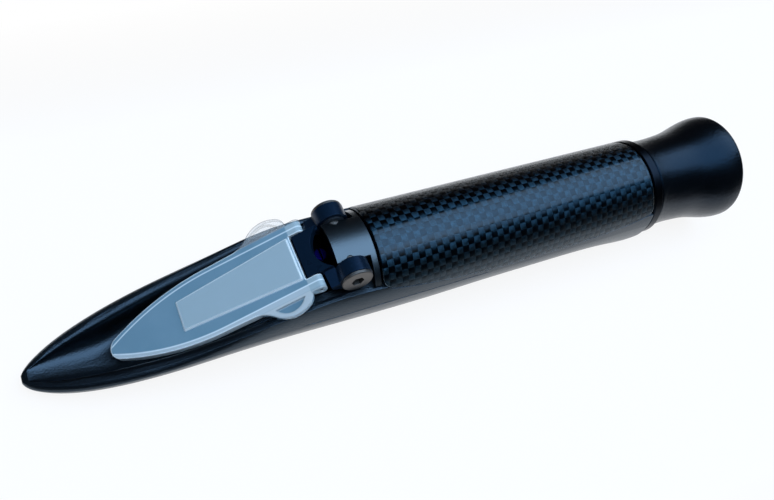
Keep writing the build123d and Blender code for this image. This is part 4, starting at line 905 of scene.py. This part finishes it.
@dataclass
class Studio:
    """A white sheet on a bench painted dark as shade, a broad soft light overhead, a small one beside the
    lens, and the camera.

    The sheet ends a hand's breadth before and behind the instrument. Beyond it
    the table is a bench painted dark as shade, which gloss shows dark together
    with the dark room, and whatever looks straight at them takes them as white.
    Lengths are in metres, the walls' edges in degrees above the floor, and the
    lens and the sensor in millimetres.
    """

    table_half: float = 6.0
    # The top lies just below the belly, so that the two flat faces don't flicker
    table_gap: float = 0.0002
    table_glow: float = 0.88
    table_roughness: float = 0.5
    shaded_bench: str = "#0A0D12"
    near_edge: float = -0.085
    far_edge: float = 0.075
    edge_blur: float = 0.05
    pale: str = "#F3F4F6"
    plain: str = "#DDE2E8"
    plain_level: float = 0.28
    near_dark: str = "#05101F"
    far_dark: str = "#1C1009"
    dark_change: Span = (-0.25, 0.35)
    wall_foot: float = 0.2
    wall_top: float = 1.2
    lens: float = 36.28
    sensor: float = 36.0
    clip_range: Span = (0.01, 50.0)
    camera_place: Place = (-0.079536, -0.091371, 0.187364)
    camera_right: Place = (0.90537, -0.38922, 0.16975)
    camera_up: Place = (0.24545, 0.80591, 0.53876)
    lamps: tuple[Lamp, ...] = (
        Lamp("overhead_softbox", (0.5, -0.03, 0.95), (2.0, 0.92), 22.5, "#BEDCFA", (0.5, -0.03, 0.0), 20.0),
        Lamp("near_softbox", (0.23, -0.27, 0.5), (0.22, 0.22), 0.12, "#DCEBFA", (0.0, 0.0, 0.02)),
    )

    def looked_at(self, tree: Tree) -> tuple[Socket, Socket]:
        """Tells the rays that look from the rays that carry light.

        Args:
            tree: the tree of the table or of the room.

        Returns:
            1 for rays of the camera and through glass, and 1 for those and the rays of gloss.
        """
        path = add(tree, "LightPath").outputs
        straight = {0: path["Is Camera Ray"], 1: path["Is Transmission Ray"]}
        direct = add(tree, "Math", straight, operation="MAXIMUM").outputs[0]
        seen = add(tree, "Math", {0: direct, 1: path["Is Glossy Ray"]}, operation="MAXIMUM").outputs[0]
        return direct, seen

    def laminate(self) -> bpy.types.Material:
        """Makes the table's white laminate: matt, with a part of its own light where it is looked at.

        Returns:
            The material, painted dark as shade in gloss beyond the sheet.
        """
        material = bpy.data.materials.new("table_laminate_white")
        material.use_nodes = True
        tree = material.node_tree
        tree.nodes.clear()
        across = add(tree, "SeparateXYZ", {0: add(tree, "TexCoord").outputs["Object"]}).outputs[1]
        near, far = (
            add(tree, "MapRange", {0: across, 1: edge + blur, 2: edge}).outputs[0]
            for edge, blur in ((self.near_edge, -self.edge_blur), (self.far_edge, self.edge_blur))
        )
        sheet = add(tree, "Math", {0: near, 1: far}, operation="MULTIPLY").outputs[0]
        direct, seen = self.looked_at(tree)
        # Beyond the sheet the table is painted dark as shade
        colour = paint(tree, linear(self.shaded_bench), (sheet, linear(self.pale)))
        matt = add(tree, "BsdfDiffuse", {"Color": colour, "Roughness": self.table_roughness}).outputs[0]
        shown = paint(tree, linear(self.shaded_bench), (sheet, WHITE), (direct, WHITE))
        white = add(tree, "Emission", {"Color": shown, "Strength": 1.0}).outputs[0]
        glow = add(tree, "MapRange", {0: sheet, 3: 1.0, 4: self.table_glow}).outputs[0]
        share = add(tree, "Math", {0: seen, 1: glow}, operation="MULTIPLY").outputs[0]
        top = add(tree, "MixShader", {0: share, 1: matt, 2: white}).outputs[0]
        add(tree, "OutputMaterial", {"Surface": top})
        return material

    def lay_table(self) -> None:
        """Lays a wide white table top that keeps a soft shadow under the instrument."""
        half, level = self.table_half, -self.table_gap
        mesh = bpy.data.meshes.new("table_top")
        corners = [(-half, -half, level), (half, -half, level), (half, half, level), (-half, half, level)]
        mesh.from_pydata(corners, [], [(0, 1, 2, 3)])
        table = bpy.data.objects.new("table_top", mesh)
        bpy.context.scene.collection.objects.link(table)
        mesh.materials.append(self.laminate())
        log.info("table top is %.1f m wide", 2 * half)

    def light_room(self) -> None:
        """Makes the room: a pale line at its foot, dark walls, and one plain level for its own light."""
        world = bpy.data.worlds.new("studio_room")
        bpy.context.scene.world = world
        world.use_nodes = True
        tree = world.node_tree
        tree.nodes.clear()
        way = add(tree, "SeparateXYZ", {0: add(tree, "TexCoord").outputs["Generated"]}).outputs
        foot, top = (math.sin(math.radians(angle)) for angle in (self.wall_foot, self.wall_top))
        climb, behind = (
            add(tree, "MapRange", {0: part, 1: begin, 2: full}).outputs[0]
            for part, (begin, full) in ((way[2], (foot, top)), (way[1], self.dark_change))
        )
        dark = paint(tree, linear(self.near_dark), (behind, linear(self.far_dark)))
        direct, seen = self.looked_at(tree)
        shown = paint(tree, linear(self.pale), (climb, dark), (direct, linear(self.pale)))
        showing = add(tree, "Background", {"Color": shown, "Strength": 1.0}).outputs[0]
        plain = {"Color": linear(self.plain), "Strength": self.plain_level}
        lighting = add(tree, "Background", plain).outputs[0]
        room = add(tree, "MixShader", {0: seen, 1: lighting, 2: showing}).outputs[0]
        add(tree, "OutputWorld", {"Surface": room})

    def set_camera(self) -> None:
        """Sets up the camera above the instrument and before it, a little to the nose's side."""
        data = bpy.data.cameras.new("camera")
        data.lens = self.lens
        data.sensor_width = self.sensor
        data.clip_start, data.clip_end = self.clip_range
        camera = bpy.data.objects.new("camera", data)
        right, up = Vector(self.camera_right), Vector(self.camera_up)
        turned = Matrix((right, up, right.cross(up))).transposed().to_4x4()
        camera.matrix_world = Matrix.Translation(self.camera_place) @ turned
        bpy.context.scene.collection.objects.link(camera)
        bpy.context.scene.camera = camera
        log.info("camera stands %.3f m up", self.camera_place[2])

    def build(self) -> None:
        """Sets up the table, the room, the lamps and the camera."""
        self.lay_table()
        self.light_room()
        for lamp in self.lamps:
            lamp.hang()
        self.set_camera()
        bpy.context.scene.view_settings.view_transform = "Standard"


def main() -> None:
    """Builds every sub-assembly in order and reports each piece."""
    logging.basicConfig(level=logging.INFO, format="%(name)s: %(message)s")
    for part in (Housing(), PrismEnd(), DaylightPlate(), OpticalTube(), Eyepiece(), Studio()):
        part.build()


if __name__ == "__main__":
    main()
